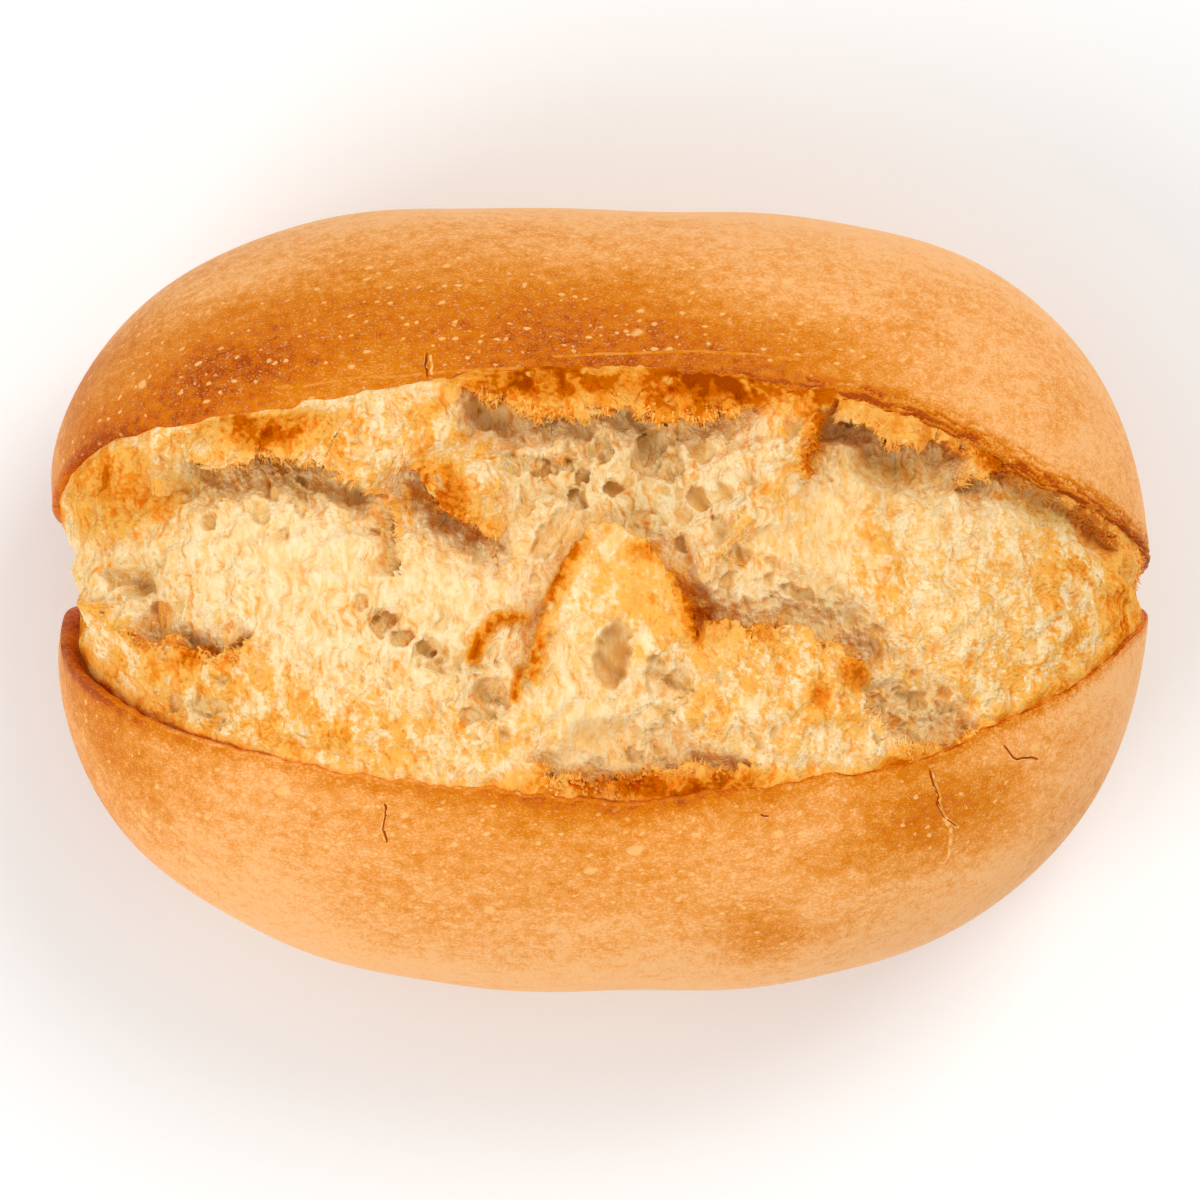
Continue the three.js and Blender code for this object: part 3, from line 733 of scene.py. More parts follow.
def nearest_on(path: Path, x: Array, y: Array) -> Nearest:
    """Find the nearest point of a path for each plan point.

    Args:
        path: the path's corners.
        x: plan coordinates along the roll.
        y: plan coordinates across it.

    Returns:
        The distance, the signed distance (+ on the left), the way to the left, and the share of the path
        passed.
    """
    best = Nearest(*(np.full(x.shape, fill) for fill in (np.inf, 0.0, 0.0, 0.0, 0.0)))
    steps = len(path) - 1
    for i in range(steps):
        (ax, ay), (bx, by) = path[i], path[i + 1]
        dx, dy = bx - ax, by - ay
        length = math.hypot(dx, dy)
        t = np.clip(((x - ax) * dx + (y - ay) * dy) / length**2, 0.0, 1.0)
        distance = np.hypot(x - ax - t * dx, y - ay - t * dy)
        closer = distance < best.distance
        side = np.where(dx * (y - ay) - dy * (x - ax) >= 0, 1.0, -1.0)
        best.distance = np.where(closer, distance, best.distance)
        best.signed = np.where(closer, side * distance, best.signed)
        best.left_x = np.where(closer, -dy / length, best.left_x)
        best.left_y = np.where(closer, dx / length, best.left_y)
        best.share = np.where(closer, (i + t) / steps, best.share)
    return best


@dataclass
class TornCrumb:
    """The relief of the torn crumb and the fields that its finish follows."""

    tear_softness: float = 0.35
    ragged: float = 0.6
    ragged_size: float = 1.4
    lace: float = 0.45
    crag_height: float = 0.45
    crag_size: float = 2.6
    cell_wobble: float = 0.3
    cell_depth: float = 0.8
    cave_shade: float = 0.45
    deep_shade: float = 0.85
    grain: Grain = field(default_factory=lambda: Grain(11))

    def relief(self, x: Array, y: Array) -> dict[str, Array]:
        """Work out the relief at plan points.

        Args:
            x: plan coordinates along the roll, in millimetres.
            y: plan coordinates across it, in millimetres.

        Returns:
            out, how far the crumb stands out; shift_x and shift_y, its sideways overhang; rim, how near a
            lifted edge is; way_x and way_y, the way that edge looks; toast, how browned the edges are; and
            cave_shading, how much painted shade a point's colour takes.
        """
        out, shift_x, shift_y, rim, toast, cave_shading, way_x, way_y = (np.zeros(x.shape) for _ in range(8))
        size = self.ragged_size
        rough = self.grain(x / size, y / size) + 0.6 * self.grain(x * 2.7 / size + 9, y * 2.7 / size)
        rough += self.lace * self.grain(x * 6.1 / size, y * 4.3 / size + 17)
        for tear in TEARS:
            near = nearest_on(tear.edge, x, y)
            fade = smooth_step(near.share, 0.0, 0.12) * (1.0 - smooth_step(near.share, 0.88, 1.0))
            s = near.signed - tear.hang + self.ragged * tear.ragged * rough
            lifted = smooth_step(s, -self.tear_softness, self.tear_softness)
            top = tear.lift * bell(s, tear.reach)
            foot = tear.drop * bell(s, tear.hollow)
            out += fade * (lifted * top - (1.0 - lifted) * foot)
            over = tear.hang * bell(s, 2.0 * tear.hang + 0.5)
            under = 0.6 * tear.hang * bell(s, 1.5 * tear.hang + 0.4)
            shift = fade * (lifted * over - (1.0 - lifted) * under)
            shift_x -= shift * near.left_x
            shift_y -= shift * near.left_y
            edge = tear.fringe * fade * bell(s - 0.3, 0.9)
            way_x = np.where(edge > rim, -near.left_x, way_x)
            way_y = np.where(edge > rim, -near.left_y, way_y)
            rim = np.maximum(rim, edge)
            toast = np.maximum(toast, tear.toast * fade * lifted * bell(s, 1.6))
            # Painted shade under each tear's lifted edge.
            cave_shading = np.maximum(cave_shading, fade * (1.0 - lifted) * bell(s, tear.hollow))
        hollows = oval_field(HOLLOWS, x, y, 0.8)
        out -= hollows
        out += oval_field(MOUNDS, x, y)
        for strand in STRANDS:
            near = nearest_on(strand.path, x, y)
            out += strand.height * bell(near.distance, strand.width)
            toast = np.maximum(toast, strand.toast * bell(near.distance, 0.8 * strand.width))
        a, b = x / self.crag_size, y / self.crag_size
        crags = np.sin(2.3 * a + 1.7 * np.sin(1.9 * b)) * np.cos(2.6 * b + 1.3 * np.sin(2.1 * a))
        out += self.crag_height * crags
        cave_shading = np.maximum(cave_shading, 0.35 * hollows)
        wobble_x = self.cell_wobble * self.grain(x * 1.3, y * 1.3 + 50)
        wobble_y = self.cell_wobble * self.grain(x * 1.3 + 30, y * 1.3)
        upright = 1.0 - smooth_step(np.hypot(shift_x, shift_y), 0.2, 0.9)
        cell = crisp_field(CELLS, x + wobble_x, y + wobble_y) * upright
        out -= self.cell_depth * cell
        shaded = shares(SHADED, x + wobble_x, y + wobble_y)
        # This mask is painted shade: tear feet, hollows, cells and the SHADED ovals darken the crumb's
        # colour.
        cave_shading = np.maximum(self.cave_shade * np.maximum(cave_shading, np.minimum(cell, 1.0)), self.deep_shade * shaded)
        return {"out": out, "shift_x": shift_x, "shift_y": shift_y, "rim": rim, "toast": toast, "cave_shading": cave_shading,
                "way_x": way_x, "way_y": way_y}


# ----------------------------------------------------------------------------------------------------
# Meshes
# ----------------------------------------------------------------------------------------------------


def new_piece(name: str, points: Array, edges: list, faces: list, fields: dict[str, Array]
              ) -> bpy.types.Object:
    """Put a mesh on a new object in the scene.

    Args:
        name: the object's name and its mesh's.
        points: the mesh's points, in metres.
        edges: its loose edges, as pairs of point numbers.
        faces: its faces, as point numbers.
        fields: a number (point) or a vector (point, 3) for each point, by the attribute's name.

    Returns:
        The new object.
    """
    mesh = bpy.data.meshes.new(name)
    mesh.from_pydata(points.tolist(), edges, faces)
    for key, values in fields.items():
        kind, slot = ("FLOAT_VECTOR", "vector") if values.ndim == 2 else ("FLOAT", "value")
        layer = mesh.attributes.new(key, kind, "POINT")
        layer.data.foreach_set(slot, values.astype(np.float32).ravel())
    piece = bpy.data.objects.new(name, mesh)
    bpy.context.scene.collection.objects.link(piece)
    return piece


def ring_mesh(name: str, grid: Array, fields: dict[str, Array], cut: tuple[bool, bool] = (False, False)
              ) -> bpy.types.Object:
    """Make a closed mesh from rings of points.

    Args:
        name: the object's name.
        grid: points in millimetres, indexed by station, then by row around the ring, then by coordinate.
        fields: named numbers (station, row) or vectors (station, row, 3) to keep with the mesh's points.
        cut: whether the first and the last ring are flat cuts. Any other end ring is drawn together to one
            point.

    Returns:
        The new object, in metres.
    """
    first, last = (0 if cut[0] else 1), (len(grid) if cut[1] else len(grid) - 1)
    rings, rows = grid[first:last], grid.shape[1]

    def to_points(values: Array) -> Array:
        """List ring values point by point, with the mean of each drawn-in end ring after them."""
        tips = [values[end].mean(axis=0)[None] for end, flat in zip((0, -1), cut) if not flat]
        return np.concatenate([values[first:last].reshape(-1, *values.shape[2:])] + tips)

    s, r = np.meshgrid(np.arange(len(rings) - 1), np.arange(rows), indexing="ij")
    a = s * rows + r
    b = s * rows + (r + 1) % rows
    faces = np.stack([a, a + rows, b + rows, b], axis=-1).reshape(-1, 4).tolist()
    sides = len(faces)
    tip = len(rings) * rows
    for end, base in ((0, 0), (1, (len(rings) - 1) * rows)):
        if cut[end]:
            loop = [Vector((float(y), float(z), 0.0)) for _, y, z in rings[-end]]
            fan = [tuple(base + corner for corner in face) for face in tessellate_polygon([loop])]
        else:
            fan = [(tip, base + row, base + (row + 1) % rows) for row in range(rows)]
            tip += 1
        faces += fan if cut[end] else [face[::-1] if end else face for face in fan]
    kept = {key: to_points(values) for key, values in fields.items()}
    piece = new_piece(name, to_points(grid) * MM, [], faces, kept)
    face_caps(piece.data, sides, cut)
    return piece


def face_caps(mesh: bpy.types.Mesh, sides: int, cut: tuple[bool, bool]) -> None:
    """Turn the flat cuts outward, shade them flat and shade the rest smooth.

    Args:
        mesh: a mesh whose cut ends, if any, are the triangles that follow its sides.
        sides: how many faces its sides have.
        cut: whether the first and the last ring are flat cuts.
    """
    mesh.polygons.foreach_set("use_smooth", [True] * len(mesh.polygons))
    middle = np.mean([vertex.co.x for vertex in mesh.vertices])
    flipped = bmesh.new()
    flipped.from_mesh(mesh)
    flipped.faces.ensure_lookup_table()
    for face in flipped.faces[sides:]:
        outward = 1.0 if face.calc_center_median().x > middle else -1.0
        if cut[int(outward > 0)]:
            face.smooth = False
            if face.normal.x * outward < 0:
                face.normal_flip()
    flipped.to_mesh(mesh)
    flipped.free()


Socket = bpy.types.NodeSocket
Value = Socket | float | int | tuple

BUMP_STRENGTH = 0.8


class Bench:
    """Short ways to lay out and join the nodes of one tree."""

    def __init__(self, tree: bpy.types.NodeTree) -> None:
        """Start with an empty tree."""
        self.tree = tree
        tree.nodes.clear()

    def node(self, kind: str, inputs: dict[str | int, Value] | None = None, **settings: object
             ) -> bpy.types.Node:
        """Add a node.

        Args:
            kind: the node's type name.
            inputs: values or sockets for its inputs, by name or number.
            settings: its own settings.

        Returns:
            The node.
        """
        node = self.tree.nodes.new(kind)
        for key, value in settings.items():
            setattr(node, key, value)
        for key, value in (inputs or {}).items():
            self.feed(node.inputs[key], value)
        return node

    def feed(self, target: Socket, value: Value) -> None:
        """Join a socket to an input, or set a plain value on it."""
        if isinstance(value, bpy.types.NodeSocket):
            self.tree.links.new(value, target)
        else:
            target.default_value = value

    def math(self, operation: str, a: Value, b: Value = 0.0, c: Value = 0.0, clamp: bool = False) -> Socket:
        """Do one sum on numbers."""
        node = self.node("ShaderNodeMath", {0: a, 1: b, 2: c}, operation=operation, use_clamp=clamp)
        return node.outputs[0]

    def vector(self, operation: str, a: Value, b: Value = (0, 0, 0), scale: Value = 1.0) -> Socket:
        """Do one sum on vectors."""
        node = self.node("ShaderNodeVectorMath", {0: a, 1: b}, operation=operation)
        if operation == "SCALE":
            self.feed(node.inputs["Scale"], scale)
        return node.outputs["Value" if operation in ("LENGTH", "DISTANCE", "DOT_PRODUCT") else "Vector"]

    def rise(self, value: Value, low: float, high: float, top: float = 1.0) -> Socket:
        """Rise smoothly from 0 at low to top at high."""
        places = {"Value": value, "From Min": low, "From Max": high, "To Min": 0.0, "To Max": top}
        return self.node("ShaderNodeMapRange", places, interpolation_type="SMOOTHSTEP").outputs[0]

    def near_middle(self, noise: Socket, width: float) -> Socket:
        """Rise from 0 to 1 where a noise is nearer than width to its middle, which draws thin lines."""
        return self.rise(self.math("ABSOLUTE", self.math("SUBTRACT", noise, 0.5)), width, 0.0)

    def mix(self, share: Value, a: Value, b: Value, blend: str = "MIX") -> Socket:
        """Mix two colours.

        Args:
            share: how much of the second there is.
            a: the first colour.
            b: the second colour.
            blend: the way they are blended.

        Returns:
            The mixed colour.
        """
        node = self.node("ShaderNodeMix", data_type="RGBA", blend_type=blend)
        self.feed(node.inputs[0], share)
        self.feed(node.inputs[6], a)
        self.feed(node.inputs[7], b)
        return node.outputs[2]

    def noise(self, place: Socket, scale: float, detail: float = 2.0, warp: float = 0.0) -> Socket:
        """Read noise from 0 to 1 at a place."""
        inputs = {"Vector": place, "Scale": scale, "Detail": detail, "Distortion": warp}
        return self.node("ShaderNodeTexNoise", inputs).outputs[0]

    def cells(self, place: Socket, scale: float, feature: str = "F1") -> bpy.types.Node:
        """Divide space into cells round scattered points."""
        inputs = {"Vector": place, "Scale": scale}
        return self.node("ShaderNodeTexVoronoi", inputs, feature=feature, voronoi_dimensions="3D")

    def stretch(self, place: Socket, factors: Triple) -> Socket:
        """Stretch a pattern's space."""
        return self.vector("MULTIPLY", place, factors)

    def object_place(self) -> Socket:
        """Read a material's Object coordinates, in millimetres."""
        return self.vector("SCALE", self.node("ShaderNodeTexCoord").outputs["Object"], scale=1.0 / MM)

    def painted(self, *keys: str, output: str = "Fac") -> dict[str, Socket]:
        """Read fields of the mesh in a material, by name."""
        return {key: self.node("ShaderNodeAttribute", attribute_name=key).outputs[output] for key in keys}

    def named(self, *keys: str, vectors: tuple[str, ...] = ()) -> dict[str, Socket]:
        """Read fields of the mesh in a geometry tree, by name.

        Args:
            keys: the fields.
            vectors: those of them that hold a vector.

        Returns:
            A socket for each field.
        """
        read = {}
        for key in keys:
            kind = "FLOAT_VECTOR" if key in vectors else "FLOAT"
            node = self.node("GeometryNodeInputNamedAttribute", {"Name": key}, data_type=kind)
            read[key] = node.outputs["Attribute"]
        return read

    def keep(self, geometry: Socket, key: str, value: Socket, vector: bool = False) -> Socket:
        """Store a field on the points of a geometry.

        Args:
            geometry: the geometry.
            key: the field's name.
            value: what it holds.
            vector: whether that is a vector.

        Returns:
            The geometry with its field.
        """
        node = self.node("GeometryNodeStoreNamedAttribute", {"Geometry": geometry, "Name": key},
                         data_type="FLOAT_VECTOR" if vector else "FLOAT", domain="POINT")
        self.feed(next(socket for socket in node.inputs if socket.name == "Value" and socket.enabled), value)
        return node.outputs[0]

    def skin(self, colour: Value, roughness: float, specular: float = 0.0, height: Socket | None = None
             ) -> None:
        """End a material in one surface.

        Args:
            colour: its colour.
            roughness: its roughness.
            specular: how strongly it reflects.
            height: the height of its finest relief, in millimetres, if it has any.
        """
        inputs = {"Base Color": colour, "Roughness": roughness, "Specular IOR Level": specular}
        if height is not None:
            bump = self.node("ShaderNodeBump", {"Height": height, "Strength": BUMP_STRENGTH, "Distance": MM})
            inputs["Normal"] = bump.outputs[0]
        surface = self.node("ShaderNodeBsdfPrincipled", inputs)
        self.node("ShaderNodeOutputMaterial", {0: surface.outputs[0]})

    def split(self, colour: Socket) -> list[Socket]:
        """Take a colour apart into three channels, in a geometry tree or a material's tree."""
        kind = "Shader" if self.tree.bl_idname == "ShaderNodeTree" else "Function"
        return list(self.node(f"{kind}NodeSeparateColor", {0: colour}).outputs)[:3]


@dataclass(frozen=True)
class CellPattern:
    """Round cells of torn crumb: their size in millimetres, their squeeze, and which are torn open.

    opening is how strongly the porous field opens them, shut the share that stays shut without it, and soft
    how gradually they open.
    """

    size: float
    squeeze: Triple
    opening: float
    shut: float
    soft: float = 0.05

    def read(self, b: Bench, place: Socket, open_by: Socket) -> tuple[Socket, Socket]:
        """Lay the pattern out.

        Args:
            b: the tree's bench.
            place: where the cells are read.
            open_by: the field that opens more of the cells.

        Returns:
            How deep the cell at a point is, 0 if it is shut, and how far the point is from its middle.
        """
        cell = b.cells(b.vector("SCALE", b.stretch(place, self.squeeze), scale=1.0 / self.size), 1.0)
        first, second, third = b.split(cell.outputs["Color"])
        chance = b.math("MULTIPLY_ADD", open_by, self.opening, first)
        opened = b.rise(chance, self.shut, self.shut + self.soft)
        depth = b.math("MULTIPLY", opened, b.math("MULTIPLY_ADD", second, 0.5, 0.5))
        return depth, b.math("MULTIPLY_ADD", third, 0.2, cell.outputs["Distance"])


LARGE_CELLS = CellPattern(2.1, (1.0, 0.7, 0.85), 0.75, 0.98)
SMALL_CELLS = CellPattern(1.15, (1.0, 0.62, 0.8), 0.5, 0.86)
FINE_CELLS = CellPattern(0.5, (1.0, 0.7, 0.8), 0.6, 0.78)


def linear_share(byte: int) -> float:
    """Turn one channel of a colour in bytes into the linear share that a shader takes."""
    share = byte / 255.0
    return share / 12.92 if share <= 0.04045 else ((share + 0.055) / 1.055) ** 2.4


def new_material(name: str) -> tuple[bpy.types.Material, Bench]:
    """Start a material with an empty tree and its bench."""
    material = bpy.data.materials.new(name)
    material.use_nodes = True
    return material, Bench(material.node_tree)


def apply_nodes(piece: bpy.types.Object, tree: bpy.types.NodeTree, values: dict[str, object]
                ) -> bpy.types.Object:
    """Run a geometry tree on a piece and keep the result as a plain mesh.

    Args:
        piece: the object that the tree starts from.
        tree: the geometry tree.
        values: the tree's inputs, by name.

    Returns:
        The same object with its new mesh.
    """
    modifier = piece.modifiers.new(tree.name, "NODES")
    modifier.node_group = tree
    for item in tree.interface.items_tree:
        if item.item_type == "SOCKET" and item.in_out == "INPUT" and item.name in values:
            modifier[item.identifier] = values[item.name]
    depsgraph = bpy.context.evaluated_depsgraph_get()
    mesh = bpy.data.meshes.new_from_object(piece.evaluated_get(depsgraph), depsgraph=depsgraph)
    piece.modifiers.clear()
    old = piece.data
    piece.data = mesh
    mesh.name = piece.name
    if old.users == 0:
        bpy.data.meshes.remove(old)
    return piece


def geometry_tree(name: str, inputs: dict[str, float]
                  ) -> tuple[bpy.types.NodeTree, Bench, bpy.types.Node]:
    """Start a geometry tree with a geometry input and named numbers.

    Args:
        name: the tree's name.
        inputs: its number inputs and their first values.

    Returns:
        The tree, its bench and its input node.
    """
    tree = bpy.data.node_groups.new(name, "GeometryNodeTree")
    tree.interface.new_socket("Geometry", in_out="INPUT", socket_type="NodeSocketGeometry")
    for key, value in inputs.items():
        number = tree.interface.new_socket(key, in_out="INPUT", socket_type="NodeSocketFloat")
        number.default_value = value
    tree.interface.new_socket("Geometry", in_out="OUTPUT", socket_type="NodeSocketGeometry")
    bench = Bench(tree)
    return tree, bench, bench.node("NodeGroupInput")


def close_tree(bench: Bench, geometry: Socket, material: bpy.types.Material) -> None:
    """End a geometry tree in realized instances with their material."""
    real = bench.node("GeometryNodeRealizeInstances", {"Geometry": geometry})
    dressed = bench.node("GeometryNodeSetMaterial", {"Geometry": real.outputs[0]})
    dressed.inputs["Material"].default_value = material
    bench.node("NodeGroupOutput", {0: dressed.outputs[0]})


# ----------------------------------------------------------------------------------------------------
# Finishes
# ----------------------------------------------------------------------------------------------------


class Tone(Enum):
    """Colours of baked wheat dough, from raw to burnt."""

    CREAM = (252, 226, 177)
    STRAW = (250, 206, 134)
    HONEY = (249, 184, 86)
    PEACH = (250, 184, 116)
    APRICOT = (240, 158, 74)
    ORANGE = (240, 148, 40)
    AMBER = (219, 126, 0)
    TAWNY = (208, 102, 0)
    BROWN = (170, 70, 0)
    # The next three tones are painted shade, multiplied into the crumb's colour in caves, pits and crevices.
    SHADE = (224, 206, 146)
    HOLLOW_SHADE = (233, 217, 168)
    CREVICE_SHADE = (248, 196, 112)
    # PALE is the crumb's pale fibre colour and also the painted highlight on the rims of its open pits.
    PALE = (254, 233, 190)
    BLUSH = (249, 187, 123)
    CREASE = (230, 146, 60)
    # The next tone is painted shade: the dark line of each hairline crack stands for the shade inside it.
    CRACK_SHADE = (132, 58, 6)
    FLECK = (252, 192, 116)

    @property
    def linear(self) -> tuple[float, float, float, float]:
        """The colour as a shader takes it."""
        red, green, blue = (linear_share(byte) for byte in self.value)
        return red, green, blue, 1.0


@dataclass(frozen=True)
class Fleck:
    """Round marks on the crust: spacing and radius in millimetres, how many show, how strongly, and tone."""

    spacing: float
    radius: float
    share: float
    strength: float
    tone: Tone


@dataclass(frozen=True)
class CrustFinish:
    """Thin, dry, slightly shiny crust: amber near the cleft, paler to the sides, with fine pale specks."""

    roughness: float = 0.45
    specular: float = 0.08
    squash: Triple = (0.75, 1, 1)
    fine_scale: float = 4.2
    blotch_scale: float = 1.1
    base_share: float = -0.66
    blotch_share: float = 0.6
    fine_share: float = 0.9
    lip_share: float = 0.6
    char_share: float = 0.08
    fold_share: float = 0.46
    clearing: float = -1.6
    relief: float = 0.16
    flecks: tuple[Fleck, ...] = (
        Fleck(0.95, 0.2, 0.6, 0.85, Tone.FLECK),
        Fleck(3.6, 0.5, 0.4, 0.8, Tone.FLECK),
    )
    stops: tuple[tuple[float, Tone], ...] = (
        (0.0, Tone.BLUSH),
        (0.16, Tone.PEACH),
        (0.36, Tone.APRICOT),
        (0.6, Tone.AMBER),
        (0.84, Tone.TAWNY),
        (1.0, Tone.BROWN),
    )

    def build(self) -> bpy.types.Material:
        """Make the material.

        Returns:
            The crust's material.
        """
        material, b = new_material("baked_crust")
        place = b.object_place()
        read = b.painted("bake", "lip", "char", "edge", "wall")
        flat = b.stretch(place, self.squash)
        fine = b.noise(flat, self.fine_scale, 1.0)
        blotch = b.noise(flat, self.blotch_scale, 2.0)
        share = b.math("MULTIPLY_ADD", read["lip"], self.lip_share, read["bake"])
        uneven = b.math("MULTIPLY_ADD", blotch, self.blotch_share, self.base_share)
        uneven = b.math("MULTIPLY_ADD", fine, self.fine_share, uneven)
        share = b.math("MULTIPLY_ADD", read["char"], self.char_share, share)
        share = b.math("MULTIPLY_ADD", self.folds(b, place, fine, blotch, read), self.fold_share, share)
        share = b.math("ADD", share, uneven, clamp=True)
        ramp = b.node("ShaderNodeValToRGB", {0: share})
        self.set_stops(ramp)
        browned = b.math("MAXIMUM", read["lip"], read["char"])
        clear = b.math("MULTIPLY_ADD", browned, self.clearing, 1.0, clamp=True)
        grains = b.math("MULTIPLY", b.rise(fine, 0.57, 0.7, 0.5), clear)
        colour = b.mix(grains, ramp.outputs[0], Tone.FLECK.linear)
        sway = b.vector("SCALE", (0.9, 0.7, 0.5), scale=blotch)
        swayed = b.vector("ADD", flat, sway)
        for fleck in self.flecks:
            spot = b.math("MULTIPLY", self.spots(b, swayed, fleck), clear)
            colour = b.mix(b.math("MULTIPLY", spot, fleck.strength), colour, fleck.tone.linear)
        colour = b.mix(read["wall"], colour, Tone.HONEY.linear)
        b.skin(colour, self.roughness, self.specular, b.math("MULTIPLY", fine, self.relief))
        return material

    @staticmethod
    def folds(b: Bench, place: Socket, fine: Socket, blotch: Socket, read: dict[str, Socket]) -> Socket:
        """Darken the charred lip in folds that run along it.

        Args:
            b: the material's bench.
            place: Object coordinates, in millimetres.
            fine: the fine noise that frays the folds.
            blotch: the broad noise that bends them.
            read: the crust's fields.

        Returns:
            How dark the folds are, from 0 to 1.
        """
        length = b.math("MULTIPLY", b.node("ShaderNodeSeparateXYZ", {0: place}).outputs[0], 0.4)
        across = b.math("MULTIPLY_ADD", blotch, 1.3, b.math("MULTIPLY_ADD", fine, 0.8, read["edge"]))
        laid = b.node("ShaderNodeCombineXYZ", {0: length, 1: across}).outputs[0]
        return b.math("MULTIPLY", b.rise(b.noise(laid, 1.0, 1.0), 0.42, 0.6), read["char"])

    @staticmethod
    def spots(b: Bench, place: Socket, fleck: Fleck) -> Socket:
        """Scatter one kind of fleck.

        Args:
            b: the material's bench.
            place: where the flecks are read.
            fleck: their sizes.

        Returns:
            How strongly a point lies in one, from 0 to 1.
        """
        cell = b.cells(place, 1.0 / fleck.spacing)
        shown, larger, _ = b.split(cell.outputs["Color"])
        radius = fleck.radius / fleck.spacing
        reach = b.math("MULTIPLY_ADD", larger, -0.5 * radius, cell.outputs["Distance"])
        chosen = b.rise(shown, 1.0 - fleck.share, 1.15 - fleck.share)
        return b.math("MULTIPLY", b.rise(reach, radius, 0.4 * radius), chosen)

    def set_stops(self, ramp: bpy.types.Node) -> None:
        """Give a colour ramp the crust's tones."""
        elements = ramp.color_ramp.elements
        while len(elements) < len(self.stops):
            elements.new(0.5)
        for element, (place, tone) in zip(elements, self.stops):
            element.position = place
            element.color = tone.linear


@dataclass(frozen=True)
class CrumbFinish:
    """Torn crumb: pale and soft in its cells, golden where it stretched thin, and toasted on its edges."""

    # The colour holds painted shade in pits, caves and crevices and a painted highlight on the rims of open
    # pits.
    roughness: float = 0.65
    fibre_relief: float = 0.16
    pits: tuple[tuple[CellPattern, float], ...] = (
        (LARGE_CELLS, 0.75),
        (SMALL_CELLS, 0.6),
        (FINE_CELLS, 0.55),
    )
    stains: tuple[tuple[float, float, Tone], ...] = (
        (0.1, 0.36, Tone.HONEY),
        (0.4, 0.62, Tone.ORANGE),
        (0.64, 0.88, Tone.TAWNY),
        (0.95, 1.25, Tone.BROWN),
    )

    def build(self) -> bpy.types.Material:
        """Make the material.

        Returns:
            The crumb's material.
        """
        material, b = new_material("torn_crumb")
        rest, warped = b.painted("rest", "warped", output="Vector").values()
        read = b.painted("stain", "streak", "cave_shading", "porous", "silk", "crevice_shading")
        calm = b.math("MULTIPLY_ADD", read["silk"], -0.9, 1.0, clamp=True)
        pit_shade, rim = 0.0, 0.0
        for pattern, strength in self.pits:
            depth, reach = pattern.read(b, warped, read["porous"])
            # Painted shade inside each open pit.
            inner = b.math("MULTIPLY", b.math("MULTIPLY", depth, strength), b.rise(reach, 0.58, 0.4))
            ring = b.math("SUBTRACT", b.rise(reach, 0.85, 0.66), b.rise(reach, 0.64, 0.52))
            outer = b.math("MULTIPLY", depth, ring)
            rim = b.math("MAXIMUM", b.math("MULTIPLY", outer, b.math("SUBTRACT", 1.0, pit_shade)), rim)
            pit_shade = b.math("MAXIMUM", inner, pit_shade)
        pit_shade, rim = b.math("MULTIPLY", pit_shade, calm), b.math("MULTIPLY", rim, calm)
        speck = b.noise(rest, 3.2, 1.0)
        fibre = b.noise(b.stretch(warped, (2.7, 0.5, 0.9)), 1.0, 1.0)
        stain = b.math("ADD", read["stain"], b.math("MULTIPLY_ADD", speck, 0.26, -0.13))
        colour = b.mix(read["streak"], Tone.CREAM.linear, Tone.STRAW.linear)
        colour = b.mix(b.rise(fibre, 0.5, 0.68, 0.7), colour, Tone.PALE.linear)
        colour = b.mix(b.rise(fibre, 0.46, 0.3, 0.5), colour, Tone.STRAW.linear)
        # Painted highlight: a pale ring just outside each open pit.
        colour = b.mix(b.math("MULTIPLY", rim, 0.7), colour, Tone.PALE.linear)
        for low, high, tone in self.stains:
            colour = b.mix(b.rise(stain, low, high), colour, tone.linear)
        # Painted shade: pits, caves and crevices are darkened by multiplying their shade tones into the
        # colour.
        for shade, tone in ((pit_shade, Tone.HOLLOW_SHADE), (read["cave_shading"], Tone.SHADE), (read["crevice_shading"], Tone.CREVICE_SHADE)):
            colour = b.mix(shade, colour, b.mix(1.0, colour, tone.linear, "MULTIPLY"))
        rough = b.math("MULTIPLY_ADD", read["silk"], -0.2, 0.26, clamp=True)
        grain = b.math("MULTIPLY", speck, rough)
        height = b.math("MULTIPLY_ADD", fibre, b.math("MULTIPLY", calm, self.fibre_relief), grain)
        b.skin(colour, self.roughness, height=height)
        return material


# ----------------------------------------------------------------------------------------------------
# Pieces of the roll
# ----------------------------------------------------------------------------------------------------


def finish_piece(piece: bpy.types.Object) -> bpy.types.Object:
    """Let a piece ride with the roll and stand for its CAD node."""
    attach(piece, BODY)
    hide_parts(NODE)
    return piece


